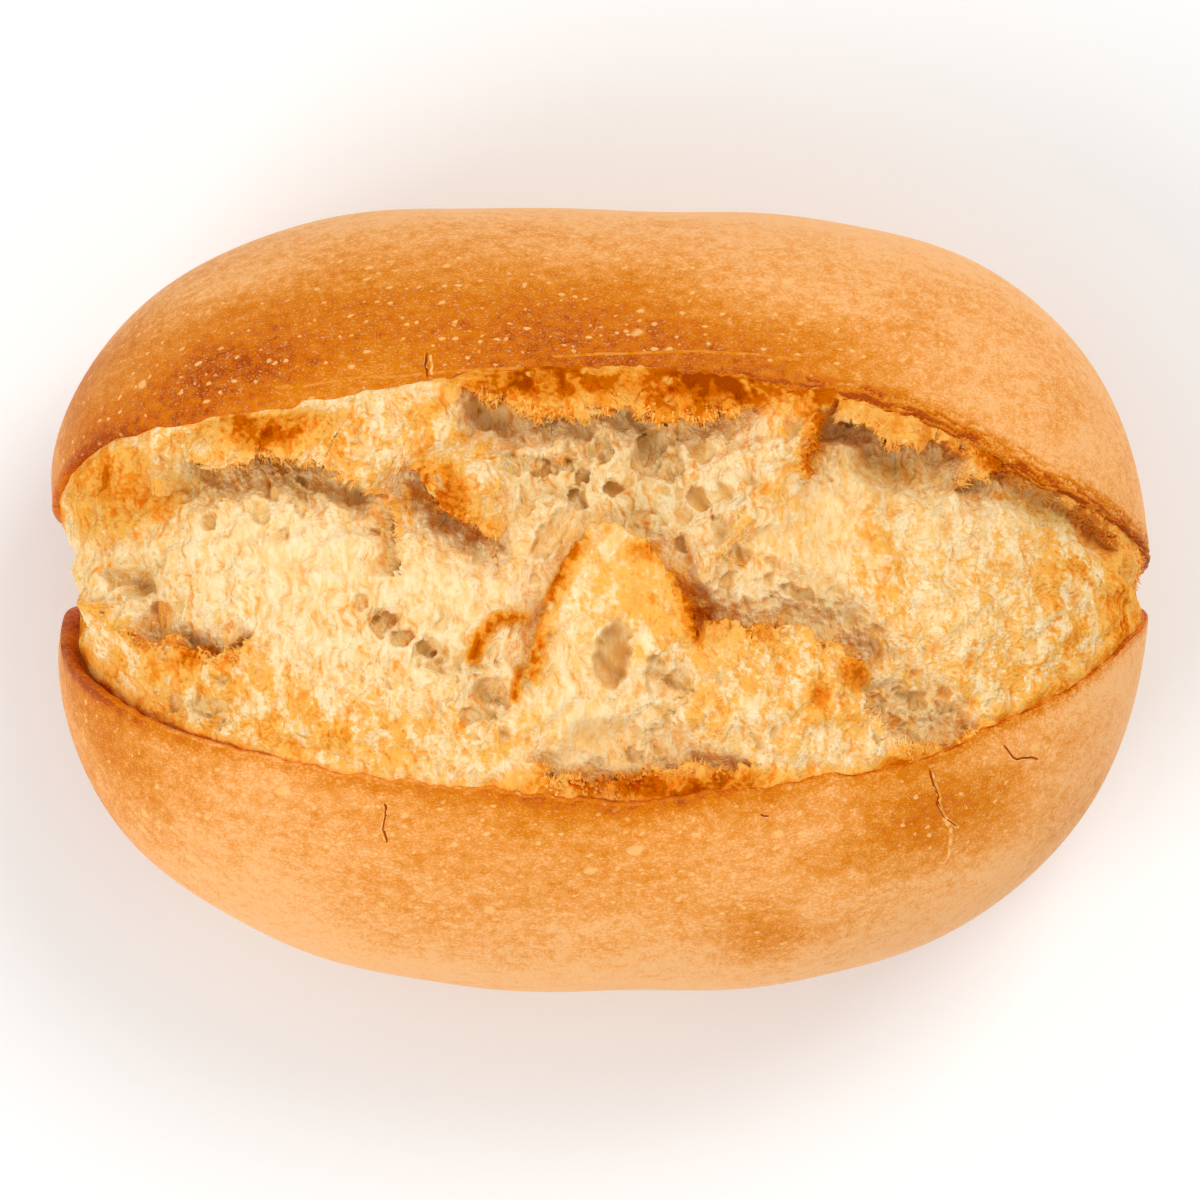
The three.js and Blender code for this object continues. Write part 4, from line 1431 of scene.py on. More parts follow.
@dataclass
class CrustBody:
    """The two crust lobes and the walls and floor of the cleft between them, as one closed body."""

    form: BakedForm
    cleft: Cleft
    finish: CrustFinish
    stations: int = 400
    rows: int = 216
    crowding: float = 0.35
    floor_depth: float = 9.0
    floor_rows: int = 8
    cloud: float = 0.14
    cloud_sizes: tuple[float, ...] = (7.0, 3.0, 1.4)
    lip_width: float = 2.0
    brown_rows: int = 5
    edge_far: float = 30.0
    edge_step: float = 0.8
    rim: Path = ((0.15, 0.05), (0.34, 0.28), (0.4, 0.65), (0.25, 1.1), (-0.3, 1.6), (-1.6, 2.8), (-2, 5))
    rim_radius: float = 32.0
    rim_turns: Point = (-9.0, 1.0)

    def rim_rows(self, lip: Array, gap: Array, inward: float) -> list[tuple[Array, Array]]:
        """Turn the rim's profile, whose points are ways inward and depths in millimetres, into rows.

        Args:
            lip: the lip's angle around the roll at each station.
            gap: the cleft's width at each station, in degrees.
            inward: 1 for the back lip and -1 for the front one.

        Returns:
            Angles around the roll and depths, for each row from the lip down.
        """
        narrow = smooth_step(gap, 2.0, 30.0)
        rows = []
        for way, depth in self.rim:
            turn = np.clip(way * (DEGREES_PER_RADIAN / self.rim_radius), *self.rim_turns)
            rows.append((lip + inward * turn * narrow, depth * (0.15 + 0.85 * narrow)))
        return rows

    def build(self) -> bpy.types.Object:
        """Make the crust's mesh.

        Returns:
            The crust body.
        """
        along = self.form.stations(self.stations)
        back, front = self.cleft.lips(along)
        gap = front - back
        sweep = 360.0 - gap
        share = crowded(self.rows, self.crowding)
        angle = front[:, None] + sweep[:, None] * share
        near = sweep[:, None] * np.minimum(share, 1.0 - share)
        station = np.repeat(along[:, None], self.rows + 1, axis=1)
        lift = self.cleft.curl(along[:, None], near)
        lift = lift + np.where(share > 0.5, self.cleft.wrinkle(along[:, None], near), 0.0)
        outer = self.form.crust(station, angle, lift)
        narrow = smooth_step(gap * np.cos(np.radians(along)), 4.0, 40.0)
        open_end = 0.1 + 0.9 * smooth_step(NOSE - np.abs(along), 0.0, 2.0)
        floor = self.floor_depth * (0.65 + 0.35 * narrow) * open_end
        rims = self.rim_rows(back, gap, 1.0)
        rims += [(back + gap * t, floor) for t in np.linspace(0.1, 0.9, self.floor_rows)]
        rims += self.rim_rows(front, gap, -1.0)[::-1]
        walls = []
        for row, (turn, depth) in enumerate(rims):
            from_lip = np.minimum(np.abs(turn - back), np.abs(front - turn))
            p = self.form.crust(along, turn, self.cleft.curl(along, from_lip))
            torn = self.cleft.lace(along, row) if row < len(self.rim) else 0.0
            walls.append(p - self.form.outward(p) * (depth + torn)[:, None])
        grid = np.concatenate([outer, np.stack(walls, axis=1)], axis=1)
        piece = ring_mesh("crust_body", grid, self.fields(along, grid, near, len(rims)))
        piece.data.materials.append(self.finish.build())
        return finish_piece(piece)

    def fields(self, along: Array, grid: Array, near: Array, extra: int) -> dict[str, Array]:
        """Work out how strongly each point is baked.

        Args:
            along: the stations, in degrees.
            grid: the crust's points.
            near: angles of the outer rows from their nearer lip.
            extra: how many rows of walls and floor follow the outer rows.

        Returns:
            bake, from pale to dark, lip, how browned a lip is, char, how charred it is, edge, the angle from
            it, and wall, which is 1 inside the cleft.
        """
        from_lip = np.concatenate([near, np.zeros((len(grid), extra))], axis=1)
        is_back = np.arange(from_lip.shape[1]) > self.rows / 2
        cleft, station = self.cleft, along[:, None]
        toast = np.where(is_back, cleft.at(cleft.back_toast, station), cleft.at(cleft.front_toast, station))
        width = np.where(is_back, cleft.at(cleft.band_width, station), self.lip_width)
        char = np.where(is_back, cleft.at(cleft.back_char, station), 0.0)
        wall = np.zeros(from_lip.shape)
        wall[:, -extra + self.brown_rows:-self.brown_rows] = 1.0
        x, y, z = np.moveaxis(grid, -1, 0)
        patch = Grain(23)
        cloud = 0.0
        for i, size in enumerate(self.cloud_sizes):
            cloud = cloud + patch(x * 0.4 / size, y / size, z / size) / (1 + i)
        bake = np.clip(oval_field(BAKED, x, y, 1.0) + self.cloud * cloud, 0.0, 1.0)
        lip = toast * bell(from_lip, self.lip_width)
        edge = np.minimum(from_lip, self.edge_far)
        edge[:, -extra:] = -self.edge_step * np.arange(1, extra + 1)
        char = char * bell(from_lip, width)
        return {"bake": bake, "lip": lip, "char": char, "edge": edge, "wall": wall}


@dataclass
class CrumbBed:
    """The torn crumb between the lips, which also runs in under the crust, in closed quarters end to end."""

    form: BakedForm
    cleft: Cleft
    crumb: TornCrumb
    finish: CrumbFinish
    stations: int = 1060
    rows: int = 366
    under_rows: int = 5
    crowding: float = 0.15
    tuck: float = 5.0
    under_depth: float = 12.0
    end: float = 89.2
    quarters: tuple[str, ...] = ("far_left", "left", "right", "far_right")
    seam_sink: float = 0.012
    facing_passes: int = 20
    calm_end: float = 6.0
    deep_from: float = 82.0
    bare_from: Point = (-0.4, 1.2)
    tuck_slope: float = 0.5
    lip_way: Triple = (0.3, -0.5, 0.5)
    torn_drop: float = -0.3

    RELIEF = {
        "Large Depth": 1.1,
        "Small Depth": 0.5,
        "Fine Depth": 0.12,
        "Fibre Depth": 0.5,
        "Thread Height": 0.1,
        "Curl Height": 0.14,
        "Grain Height": 0.18,
    }

    def surface(self, along: Array, share: Array) -> tuple[Array, dict[str, Array]]:
        """Place the torn face.

        Args:
            along: the stations, in degrees.
            share: shares of the way across, from tucked under the back crust to tucked under the front one.

        Returns:
            The points, and the fields that go with them.
        """
        cleft = self.cleft
        back, front = cleft.lips(along)
        low = (back - self.tuck)[:, None]
        high = (front + self.tuck)[:, None]
        angle = low + (high - low) * share
        station = np.repeat(along[:, None], len(share), axis=1)
        to_back, to_front = angle - back[:, None], front[:, None] - angle
        inside = np.minimum(to_back, to_front)
        flat = self.form.crust(station, angle, cleft.curl(station, inside))
        from_lip = np.radians(inside) * np.hypot(flat[..., 1], flat[..., 2] - self.form.waist)
        x, y = flat[..., 0], flat[..., 1]
        relief = self.crumb.relief(x, y)
        bare = smooth_step(from_lip, *self.bare_from)
        by_back = to_back < to_front
        wall = np.where(by_back, cleft.at(cleft.back_wall, station), cleft.at(cleft.front_wall, station))
        browned = np.where(by_back, cleft.at(cleft.back_toast, station), cleft.at(cleft.front_toast, station))
        calm = smooth_step(self.end - np.abs(station), 0.0, self.calm_end)
        deep = smooth_step(inside, 0.0, cleft.notch_spread)
        deep = deep * (1.0 - 0.6 * smooth_step(np.abs(station), self.deep_from, self.end))
        out = calm * (bare * relief["out"] - deep * cleft.notch(station))
        out -= calm * wall * bell(np.maximum(from_lip - self.bare_from[1], 0.0), 2.0)
        out -= cleft.sink + self.tuck_slope * np.clip(-from_lip, 0.0, 4.0) + 0.5 * (1.0 - calm)
        p = flat + self.form.outward(flat) * out[..., None]
        p[..., 0] += bare * calm * relief["shift_x"]
        p[..., 1] += bare * calm * relief["shift_y"]
        toast = np.maximum(relief["toast"], oval_field(TOASTED, x, y, 0.95))
        silk = shares(SILK, x, y)
        charred = np.where(by_back, cleft.at(cleft.back_char, station), 0.0) * bell(from_lip - 0.5, 1.0)
        by_lip = charred > relief["rim"]
        torn_way = (relief["way_x"], relief["way_y"], self.torn_drop)
        way = [np.where(by_lip, lip, torn) for lip, torn in zip(self.lip_way, torn_way)]
        return p, {
            "rest": p,
            "toast": np.maximum(toast, 1.2 * browned * bell(from_lip, 0.5 + 1.8 * browned)),
            "cave_shading": relief["cave_shading"],
            "rim": np.maximum(relief["rim"], charred),
            "way": np.stack(way, axis=-1),
            "bare": bare * calm,
            "gold": shares(GOLDEN, x, y, 1.1),
            "silk": silk,
            "sponge": shares(SPONGE, x, y) * (1.0 - 0.9 * silk),
            "curls": shares(MOTTLED, x, y),
        }

    def facings(self, top: Array) -> Array:
        """Give the way the torn face looks at each point, smoothed over its neighbours."""
        for _ in range(self.facing_passes):
            for axis in (0, 1):
                ends = np.take(top, [0], axis), np.take(top, [-1], axis)
                wide = np.concatenate([ends[0], top, ends[1]], axis=axis)
                count = top.shape[axis]
                sides = np.take(wide, range(count), axis) + np.take(wide, range(2, count + 2), axis)
                top = 0.5 * top + 0.25 * sides
        facing = np.cross(np.gradient(top, axis=0), np.gradient(top, axis=1))
        facing *= np.sign(np.sum(facing * self.form.outward(top), axis=-1, keepdims=True).mean())
        return facing / (np.linalg.norm(facing, axis=-1, keepdims=True) + 1e-9)

    def build(self) -> list[bpy.types.Object]:
        """Make the crumb's meshes.

        Returns:
            The quarters of the crumb bed, from left to right.
        """
        along = self.form.stations(self.stations, self.end)
        top, fields = self.surface(along, crowded(self.rows, self.crowding))
        facing = self.facings(top)
        fields["bare"] *= smooth_step(np.sum(facing * self.form.outward(top), axis=-1), 0.2, 0.75)
        fields["facing"] = facing
        depth = self.under_depth * (0.2 + 0.8 * np.cos(np.radians(along)))
        under = []
        for t in np.linspace(1.0, 0.0, self.under_rows + 2)[1:-1]:
            ring = top[:, -1] * t + top[:, 0] * (1.0 - t)
            under.append(ring - self.form.outward(ring) * depth[:, None])
        grid = np.concatenate([top, np.stack(under, axis=1)], axis=1)
        for key, values in fields.items():
            pad = np.repeat(values[:, -1:], self.under_rows, axis=1) * (0.0 if key == "bare" else 1.0)
            fields[key] = np.concatenate([values, pad], axis=1)
        tree = self.relief_tree()
        cuts = np.linspace(0, self.stations, len(self.quarters) + 1).astype(int)
        pieces = []
        for side, start, stop in zip(self.quarters, cuts[:-1], cuts[1:]):
            cut = (start > 0, stop < self.stations)
            picked = np.arange(start - cut[0], stop + 1 + cut[1])
            rings = grid[picked].copy()
            for end in (0, -1):
                if cut[end]:
                    rings[end] -= self.seam_sink * fields["facing"][picked[end]]
            kept = {key: values[picked] for key, values in fields.items()}
            piece = ring_mesh(f"crumb_{side}", rings, kept, cut)
            pieces.append(finish_piece(apply_nodes(piece, tree, self.RELIEF)))
        return pieces

    def relief_tree(self) -> bpy.types.NodeTree:
        """Lay out the tree that presses cells, slots, fibres and curls into the crumb.

        Returns:
            The geometry tree.
        """
        tree, b, start = geometry_tree("crumb_relief", self.RELIEF)
        read = b.named("rest", "facing", "sponge", "silk", "curls", "bare", "gold", "toast", "cave_shading",
                       vectors=("rest", "facing"))
        size = start.outputs
        place = read["rest"]
        for scale, reach in ((0.4, 2.6), (1.5, b.math("MULTIPLY_ADD", read["curls"], 0.6, 0.4))):
            warp = b.node("ShaderNodeTexNoise", {"Vector": place, "Scale": scale, "Detail": 1.0})
            push = b.vector("SUBTRACT", warp.outputs["Color"], (0.5, 0.5, 0.5))
            place = b.vector("ADD", place, b.vector("SCALE", push, scale=reach))
        calm = b.math("MULTIPLY_ADD", read["silk"], -0.9, 1.0, clamp=True)
        porous = b.math("MULTIPLY_ADD", read["curls"], -0.3, read["sponge"])
        large, small, fine = self.pits(b, place, porous)
        curl = b.math("MULTIPLY", b.near_middle(b.noise(place, 0.75, 1.0, 1.6), 0.1), read["curls"])
        open_cell = b.math("MAXIMUM", large, small)
        ripple = self.ripple(b, size, place, open_cell, read["curls"])
        height = b.math("MULTIPLY", small, size["Small Depth"])
        height = b.math("MULTIPLY_ADD", large, size["Large Depth"], height)
        height = b.math("MULTIPLY_ADD", fine, size["Fine Depth"], height)
        height = b.math("ADD", b.math("MULTIPLY", height, -1.0), ripple)
        height = b.math("MULTIPLY_ADD", curl, size["Curl Height"], height)
        crest = b.rise(ripple, 0.02, 0.16)
        # The crevice mask marks the ripple's low parts, where the crumb's colour takes painted shade.
        crevice_shading = b.math("MULTIPLY", b.rise(ripple, 0.02, -0.12), b.math("MULTIPLY", calm, read["bare"]))
        height = b.math("MULTIPLY", b.math("MULTIPLY", height, calm), b.math("MULTIPLY", read["bare"], MM))
        pore = b.math("MULTIPLY", open_cell, calm)
        stain, streak = self.stain(b, read, curl, pore, crest)
        geometry = b.keep(start.outputs[0], "warped", place, vector=True)
        fields = {"porous": porous, "stain": stain, "streak": streak, "crevice_shading": crevice_shading}
        for key, value in fields.items():
            geometry = b.keep(geometry, key, value)
        offset = b.vector("SCALE", read["facing"], scale=height)
        moved = b.node("GeometryNodeSetPosition", {"Geometry": geometry, "Offset": offset})
        close_tree(b, moved.outputs[0], self.finish.build())
        return tree

    @staticmethod
    def pits(b: Bench, place: Socket, porous: Socket) -> list[Socket]:
        """Press the large, small and fine cells in, each kind where a larger one leaves room.

        Args:
            b: the tree's bench.
            place: where the cells are read.
            porous: the field that opens more of the cells.

        Returns:
            How deep each kind of cell is at a point, from 0 to 1.
        """
        pits = []
        wall = 1.0
        for pattern in (LARGE_CELLS, SMALL_CELLS, FINE_CELLS):
            depth, reach = pattern.read(b, place, porous)
            pits.append(b.math("MULTIPLY", b.math("MULTIPLY", depth, b.rise(reach, 0.6, 0.26)), wall))
            wall = b.math("MULTIPLY", b.math("SUBTRACT", 1.0, pits[-1], clamp=True), wall)
        return pits

    @staticmethod
    def ripple(b: Bench, size: bpy.types.NodeOutputs, place: Socket, open_cell: Socket, curls: Socket
               ) -> Socket:
        """Raise fibres, threads and grain between the open cells.

        Args:
            b: the tree's bench.
            size: the tree's named sizes.
            place: where the noises are read.
            open_cell: how deep a point lies in an open cell.
            curls: where the crumb is curled, which leaves it less rough.

        Returns:
            Their height, in millimetres.
        """
        fibre = b.math("SUBTRACT", b.noise(b.stretch(place, (1.6, 0.4, 0.7)), 1.0, 1.0, 0.4), 0.5)
        thread = b.near_middle(b.noise(b.stretch(place, (1.3, 0.28, 0.6)), 1.0, 0.0, 0.8), 0.07)
        grain = b.math("MULTIPLY", b.math("SUBTRACT", b.noise(place, 1.3, 1.0), 0.5), size["Grain Height"])
        ripple = b.math("MULTIPLY_ADD", fibre, size["Fibre Depth"], grain)
        ripple = b.math("MULTIPLY_ADD", thread, size["Thread Height"], ripple)
        rough = b.math("MULTIPLY_ADD", open_cell, -0.75, 1.0)
        rough = b.math("MULTIPLY", rough, b.math("MULTIPLY_ADD", curls, -0.45, 1.0))
        return b.math("MULTIPLY", ripple, rough)

    @staticmethod
    def stain(b: Bench, read: dict[str, Socket], curl: Socket, pore: Socket, crest: Socket
              ) -> tuple[Socket, Socket]:
        """Work out how far the oven coloured the crumb.

        Args:
            b: the tree's bench.
            read: the fields.
            curl: how near a point is to the crest of a curl.
            pore: how deep it lies in an open cell.
            crest: how near it is to the crest of a ripple.

        Returns:
            The stain, from 0 for pale to above 1 for burnt, and a streak that turns cream into straw.
        """
        rest = read["rest"]
        streak = b.noise(b.stretch(rest, (1.3, 0.45, 0.7)), 0.8, 3.0, 0.5)
        blot = b.noise(b.stretch(rest, (1.0, 0.7, 0.8)), 0.45, 3.0, 0.6)
        speck = b.noise(rest, 1.7, 2.0)
        blotched = b.rise(b.math("MULTIPLY_ADD", speck, 0.5, blot), 0.62, 0.88)
        browned = b.math("MULTIPLY", read["toast"], b.math("MULTIPLY_ADD", blotched, 0.5, 0.6))
        crested = b.math("MULTIPLY_ADD", blotched, 0.4, b.math("MULTIPLY_ADD", crest, 0.3, 0.03))
        golden = b.math("MULTIPLY", read["gold"], crested)
        stain = b.math("MULTIPLY_ADD", curl, 0.26, b.math("MAXIMUM", browned, golden))
        spread = b.math("MULTIPLY_ADD", read["gold"], 0.24, 0.1)
        stain = b.math("MULTIPLY_ADD", b.math("SUBTRACT", streak, 0.5), spread, stain)
        # The stain fades in open cells and under the painted cave shade.
        pore_or_shade = b.math("MAXIMUM", pore, read["cave_shading"])
        stain = b.math("MULTIPLY", stain, b.math("MULTIPLY_ADD", pore_or_shade, -1.15, 1.0, clamp=True))
        return stain, b.rise(streak, 0.38, 0.62)


@dataclass(frozen=True)
class LineFinish:
    """A thin line in the crust, in one tone that varies a little."""

    name: str
    tone: Tone
    second: Tone
    roughness: float = 0.6

    def build(self) -> bpy.types.Material:
        """Make the material.

        Returns:
            The line's material.
        """
        material, b = new_material(self.name)
        share = b.rise(b.noise(b.object_place(), 1.4, 1.0), 0.35, 0.65)
        b.skin(b.mix(share, self.tone.linear, self.second.linear), self.roughness)
        return material


@dataclass
class CrustLines:
    """Fine lines on the crust, drawn as tubes that lie almost wholly in it.

    Each path is a run of angles along the roll and around it, in degrees.
    """

    form: BakedForm
    cleft: Cleft
    name: str
    paths: tuple[Path, ...]
    finish: LineFinish
    radius: float
    sink: float
    steps: int = 14
    sway: float = 0.12
    sides: int = 8
    taper: Triple = (0.06, 0.94, 2.2)
    grain: Grain = field(default_factory=lambda: Grain(31))

    def build(self) -> bpy.types.Object:
        """Make the lines.

        Returns:
            One object that holds all of them.
        """
        points, edges, thick = [], [], []
        first, last, strength = self.taper
        for path in self.paths:
            corners = np.arange(len(path))
            t = np.linspace(0.0, len(path) - 1.0, self.steps * (len(path) - 1) + 1)
            along, around = (np.interp(t, corners, values) for values in zip(*path))
            along = along + self.sway * self.grain(t * 2.1, t * 0.0 + along[0])
            around = around + self.sway * self.grain(t * 2.1, t * 0.0 + around[0] + 40.0)
            back, front = self.cleft.lips(along)
            near = np.minimum(np.abs(around - back), np.abs(front - around))
            folds = np.where(around < 90.0, self.cleft.wrinkle(along, near), 0.0)
            p = self.form.crust(along, around, self.cleft.curl(along, near) + folds - self.sink)
            edges += [(len(points) + i, len(points) + i + 1) for i in range(len(p) - 1)]
            thick += list(np.clip(strength * np.sin(np.pi * np.linspace(first, last, len(p))), 0.0, 1.0))
            points += p.tolist()
        piece = new_piece(self.name, np.asarray(points) * MM, edges, [], {"thick": np.asarray(thick)})
        return finish_piece(apply_nodes(piece, self.tree(), {"Radius": self.radius * MM}))

    def tree(self) -> bpy.types.NodeTree:
        """Lay out the tree that turns each path into a closed tube.

        Returns:
            The geometry tree.
        """
        tree, b, start = geometry_tree(self.name + "_tubes", {"Radius": self.radius * MM})
        radius = b.math("MULTIPLY", b.named("thick")["thick"], start.outputs["Radius"])
        curve = b.node("GeometryNodeMeshToCurve", {"Mesh": start.outputs["Geometry"]}).outputs[0]
        curve = b.node("GeometryNodeSetCurveRadius", {"Curve": curve, "Radius": radius}).outputs[0]
        ring = b.node("GeometryNodeCurvePrimitiveCircle", {"Resolution": self.sides, "Radius": 1.0})
        sweep = {"Curve": curve, "Profile Curve": ring.outputs[0], "Fill Caps": True}
        tube = b.node("GeometryNodeCurveToMesh", sweep)
        if "Scale" in tube.inputs:
            b.feed(tube.inputs["Scale"], b.node("GeometryNodeInputRadius").outputs[0])
        close_tree(b, tube.outputs[0], self.finish.build())
        return tree


CRACKS: tuple[Path, ...] = (
    ((-31.3, 128.9), (-30.8, 131.3), (-30.8, 133.8), (-30.1, 136.5)),
    ((-25.7, 50.2), (-26.1, 52.7), (-26.0, 54.8)),
    ((44.8, 123.8), (45.0, 126.9), (45.1, 129.3), (45.1, 132.0)),
    ((44.8, 129.7), (45.6, 133.5), (46.6, 135.5)),
    ((52.3, 120.4), (53.0, 123.6), (53.5, 124.2), (54.8, 124.2), (55.7, 125.2)),
    ((24.5, 131.0), (25.7, 131.1)),
)

CRACK_EDGES: tuple[Path, ...] = CRACKS + (
    ((-25.1, 50.4), (-25.3, 53.0), (-25.5, 54.6)),
    ((45.1, 132.0), (45.9, 135.5), (45.2, 140.9), (44.8, 144.2)),
)

CREASES: tuple[Path, ...] = (
    ((-46.0, 55.4), (-40.9, 56.0), (-35.4, 54.7), (-29.5, 54.6), (-23.0, 53.6), (-15.8, 53.1), (-6.4, 52.4)),
    ((-12.0, 51.2), (0.0, 49.8), (12.0, 49.4), (24.0, 50.2), (33.0, 51.6)),
)


@dataclass(frozen=True)
class ShredFinish:
    """Thin torn crumb, from pale to toasted."""

    roughness: float = 0.65
    stains: tuple[tuple[float, float, Tone], ...] = (
        (0.0, 0.35, Tone.STRAW),
        (0.3, 0.65, Tone.HONEY),
        (0.75, 1.2, Tone.TAWNY),
    )

    def build(self) -> bpy.types.Material:
        """Make the material.

        Returns:
            The shreds' material.
        """
        material, b = new_material("crumb_shreds")
        tint = b.painted("tint")["tint"]
        colour = Tone.PALE.linear
        for low, high, tone in self.stains:
            colour = b.mix(b.rise(tint, low, high), colour, tone.linear)
        b.skin(colour, self.roughness)
        return material


@dataclass
class CrumbShreds:
    """Small shreds that fringe the torn edges of the crumb."""

    bed: CrumbBed
    finish: ShredFinish
    stations: int = 420
    rows: int = 150

    READ = ("rim", "bare", "toast", "gold", "way")
    SCATTER = {"Density": 7.0, "Length": 0.85, "Width": 0.15, "Spread": 0.75, "Seed": 4}
    SET_BACK = 0.25
    SIDES = 5

    def build(self) -> bpy.types.Object:
        """Scatter the shreds.

        Returns:
            One object that holds all of them.
        """
        along = self.bed.form.stations(self.stations, self.bed.end)
        top, fields = self.bed.surface(along, crowded(self.rows, self.bed.crowding))
        rows = self.rows + 1
        s, r = np.meshgrid(np.arange(self.stations), np.arange(self.rows), indexing="ij")
        a = s * rows + r
        faces = np.stack([a, a + rows, a + rows + 1, a + 1], axis=-1).reshape(-1, 4).tolist()
        kept = {key: fields[key].reshape(-1, *fields[key].shape[2:]) for key in self.READ}
        piece = new_piece("crumb_shreds", top.reshape(-1, 3) * MM, [], faces, kept)
        return finish_piece(apply_nodes(piece, self.tree(), self.SCATTER))

    def tree(self) -> bpy.types.NodeTree:
        """Lay out the tree that sets a shred on scattered points of the torn edges.

        Returns:
            The geometry tree.
        """
        tree, b, start = geometry_tree("crumb_fringe", self.SCATTER)
        size = start.outputs
        read = b.named(*self.READ, vectors=("way",))
        density = b.math("MULTIPLY", b.rise(read["rim"], 0.6, 0.95), read["bare"])
        density = b.math("MULTIPLY", density, b.math("MULTIPLY", size["Density"], 1.0 / MM**2))
        ground = {"Mesh": size["Geometry"], "Density": density, "Seed": size["Seed"]}
        spread = b.node("GeometryNodeDistributePointsOnFaces", ground, distribute_method="RANDOM")
        any_way = self.random(b, (-1.0, -1.0, -1.0), (1.0, 1.0, 1.0), 1)
        way = b.vector("ADD", read["way"], b.vector("SCALE", any_way, scale=size["Spread"]))
        turn = b.node("FunctionNodeAlignRotationToVector", {"Vector": way}, axis="Z").outputs[0]
        back = b.vector("SCALE", b.vector("NORMALIZE", way), scale=-self.SET_BACK * MM)
        points = b.node("GeometryNodeSetPosition", {"Geometry": spread.outputs["Points"], "Offset": back})
        kept = b.keep(points.outputs[0], "tint", b.math("MULTIPLY_ADD", read["gold"], 0.5, read["toast"]))
        cone = b.node("GeometryNodeMeshCone", {"Vertices": self.SIDES, "Radius Top": 0.0,
                                               "Radius Bottom": 1.0, "Depth": 1.0})
        vary = self.random(b, (0.6, 0.6, 0.35), (1.4, 1.4, 1.3), 2)
        wide = b.math("MULTIPLY", size["Width"], MM)
        long = b.math("MULTIPLY", size["Length"], MM)
        shape = b.node("ShaderNodeCombineXYZ", {0: wide, 1: wide, 2: long}).outputs[0]
        planted = {"Points": kept, "Instance": cone.outputs["Mesh"], "Rotation": turn,
                   "Scale": b.vector("MULTIPLY", shape, vary)}
        close_tree(b, b.node("GeometryNodeInstanceOnPoints", planted).outputs[0], self.finish.build())
        return tree

    @staticmethod
    def random(b: Bench, low: Triple, high: Triple, seed: int) -> Socket:
        """Draw a random vector for each point, the same each time."""
        limits = {"Min": low, "Max": high, "Seed": seed}
        return b.node("FunctionNodeRandomValue", limits, data_type="FLOAT_VECTOR").outputs["Value"]


# ----------------------------------------------------------------------------------------------------
# Studio
# ----------------------------------------------------------------------------------------------------


@dataclass(frozen=True)
class Softbox:
    """A square light: its name, place and side in metres, power in watts, and colour."""

    name: str
    at: Triple
    size: float
    power: float
    colour: Triple


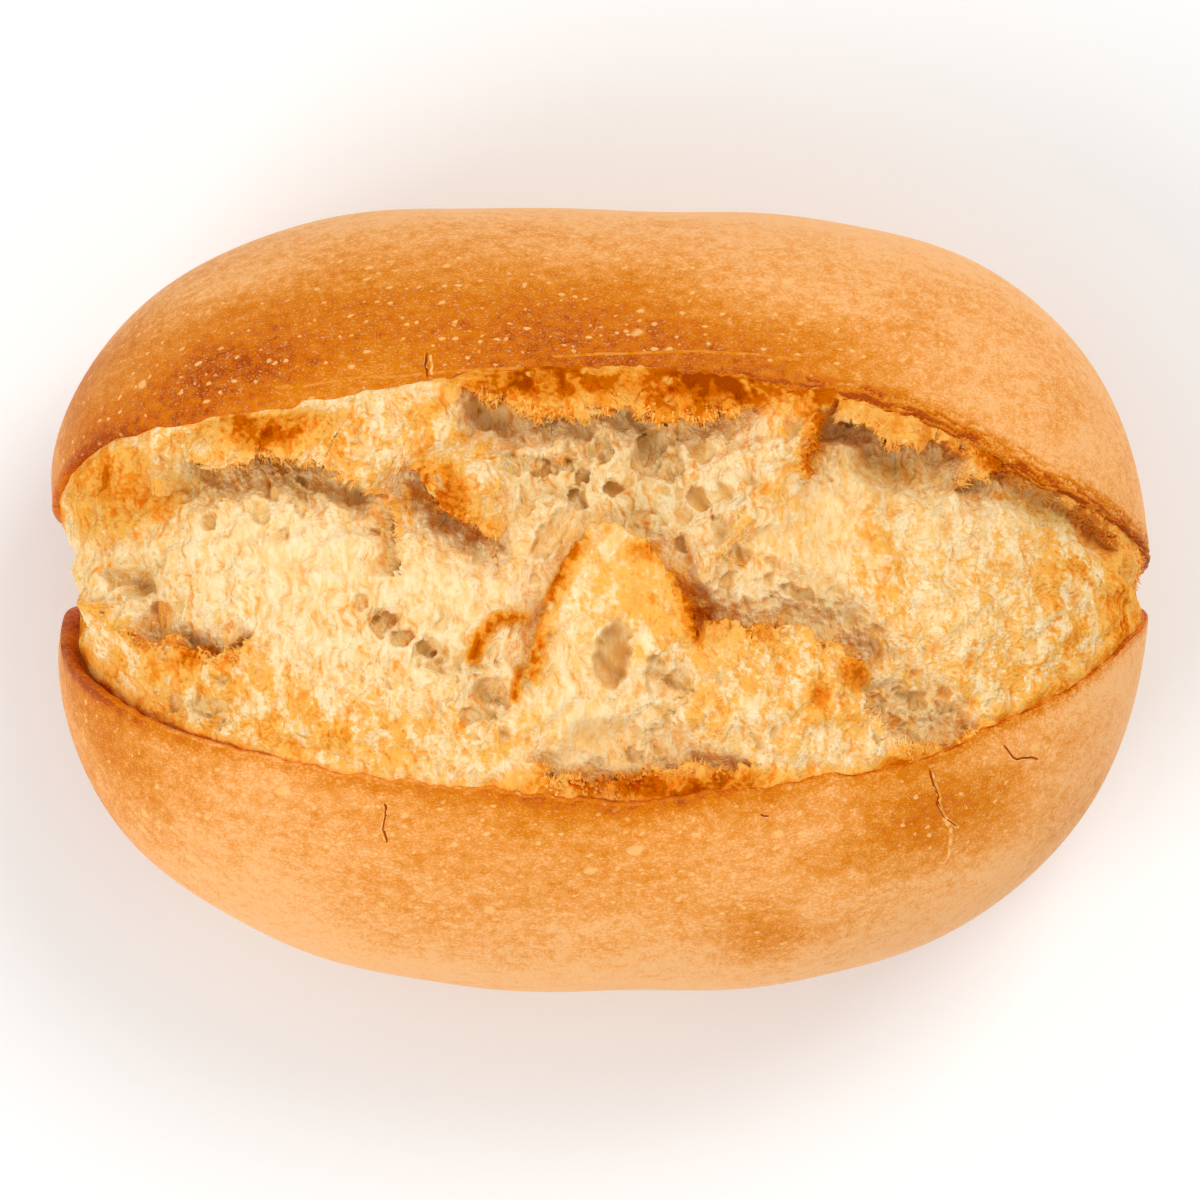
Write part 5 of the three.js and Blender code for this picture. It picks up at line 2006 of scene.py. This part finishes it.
@dataclass
class Studio:
    """A pale floor, soft light from two sides and a camera that looks down on the roll."""

    elevation: float = 86.0
    distance: float = 0.6
    lens: float = 180.0
    sensor: float = 36.0
    aim: Triple = (0.0002, -0.0001, 0.021)
    floor_size: float = 4.0
    floor_colour: Triple = (0.93, 0.95, 0.965)
    floor_roughness: float = 0.9
    world_colour: Triple = (1.0, 0.995, 0.985)
    world_strength: float = 0.62
    softboxes: tuple[Softbox, ...] = (
        Softbox("key_light", (0.30, 0.34, 0.62), 0.34, 2.1, (1.0, 0.985, 0.96)),
        Softbox("fill_light", (-0.42, -0.36, 0.5), 0.4, 2.15, (1.0, 0.99, 0.975)),
    )

    def build(self) -> None:
        """Set up the floor, the lights, the world and the camera."""
        self.floor()
        self.world()
        for softbox in self.softboxes:
            self.hang(softbox)
        self.camera()

    def floor(self) -> None:
        """Lay the floor."""
        half = self.floor_size / 2
        corners = np.array([(-half, -half, 0), (half, -half, 0), (half, half, 0), (-half, half, 0)])
        floor = new_piece("floor", corners, [], [(0, 1, 2, 3)], {})
        material, b = new_material("pale_floor")
        b.skin((*self.floor_colour, 1.0), self.floor_roughness)
        floor.data.materials.append(material)

    def world(self) -> None:
        """Light the room evenly."""
        world = bpy.data.worlds.new("studio")
        world.use_nodes = True
        sky = world.node_tree.nodes["Background"]
        sky.inputs["Color"].default_value = (*self.world_colour, 1.0)
        sky.inputs["Strength"].default_value = self.world_strength
        bpy.context.scene.world = world
        bpy.context.scene.view_settings.view_transform = "Standard"

    def hang(self, softbox: Softbox) -> None:
        """Hang a softbox so that it faces the roll.

        Args:
            softbox: the light to hang.
        """
        light = bpy.data.lights.new(softbox.name, "AREA")
        light.shape = "SQUARE"
        light.size = softbox.size
        light.energy = softbox.power
        light.color = softbox.colour
        lamp = bpy.data.objects.new(softbox.name, light)
        lamp.location = softbox.at
        facing = Vector(self.aim) - Vector(softbox.at)
        lamp.rotation_euler = facing.to_track_quat("-Z", "Y").to_euler()
        bpy.context.scene.collection.objects.link(lamp)

    def camera(self) -> None:
        """Stand the camera almost straight above the roll."""
        data = bpy.data.cameras.new("camera")
        data.lens = self.lens
        data.sensor_width = self.sensor
        camera = bpy.data.objects.new("camera", data)
        tilt = math.radians(self.elevation)
        back = Vector((0.0, -math.cos(tilt), math.sin(tilt)))
        camera.location = Vector(self.aim) + back * self.distance
        camera.rotation_euler = (math.radians(90.0 - self.elevation), 0.0, 0.0)
        bpy.context.scene.collection.objects.link(camera)
        bpy.context.scene.camera = camera


def main() -> None:
    """Build the roll piece by piece, then its studio."""
    logging.basicConfig(level=logging.INFO, format="%(name)s: %(message)s")
    form = BakedForm.from_box(*CAD_BOX)
    cleft = Cleft()
    pieces = [CrustBody(form, cleft, CrustFinish()).build()]
    bed = CrumbBed(form, cleft, TornCrumb(), CrumbFinish())
    pieces += bed.build()
    pieces.append(CrumbShreds(bed, ShredFinish()).build())
    edge = LineFinish("crack_edge", Tone.FLECK, Tone.CREASE)
    dark = LineFinish("crack_shade", Tone.CRACK_SHADE, Tone.BROWN)
    crease = LineFinish("crease", Tone.CREASE, Tone.AMBER)
    pieces.append(CrustLines(form, cleft, "crack_edges", CRACK_EDGES, edge, radius=0.5, sink=0.46).build())
    # The dark crack tubes are painted shade inside the hairline cracks; the cracks themselves are real.
    pieces.append(CrustLines(form, cleft, "crust_cracks", CRACKS, dark, radius=0.16, sink=0.1).build())
    pieces.append(CrustLines(form, cleft, "lip_creases", CREASES, crease, radius=0.4, sink=0.37).build())
    for piece in pieces:
        log.info("%s has %d faces", piece.name, len(piece.data.polygons))
    Studio().build()


if __name__ == "__main__":
    main()
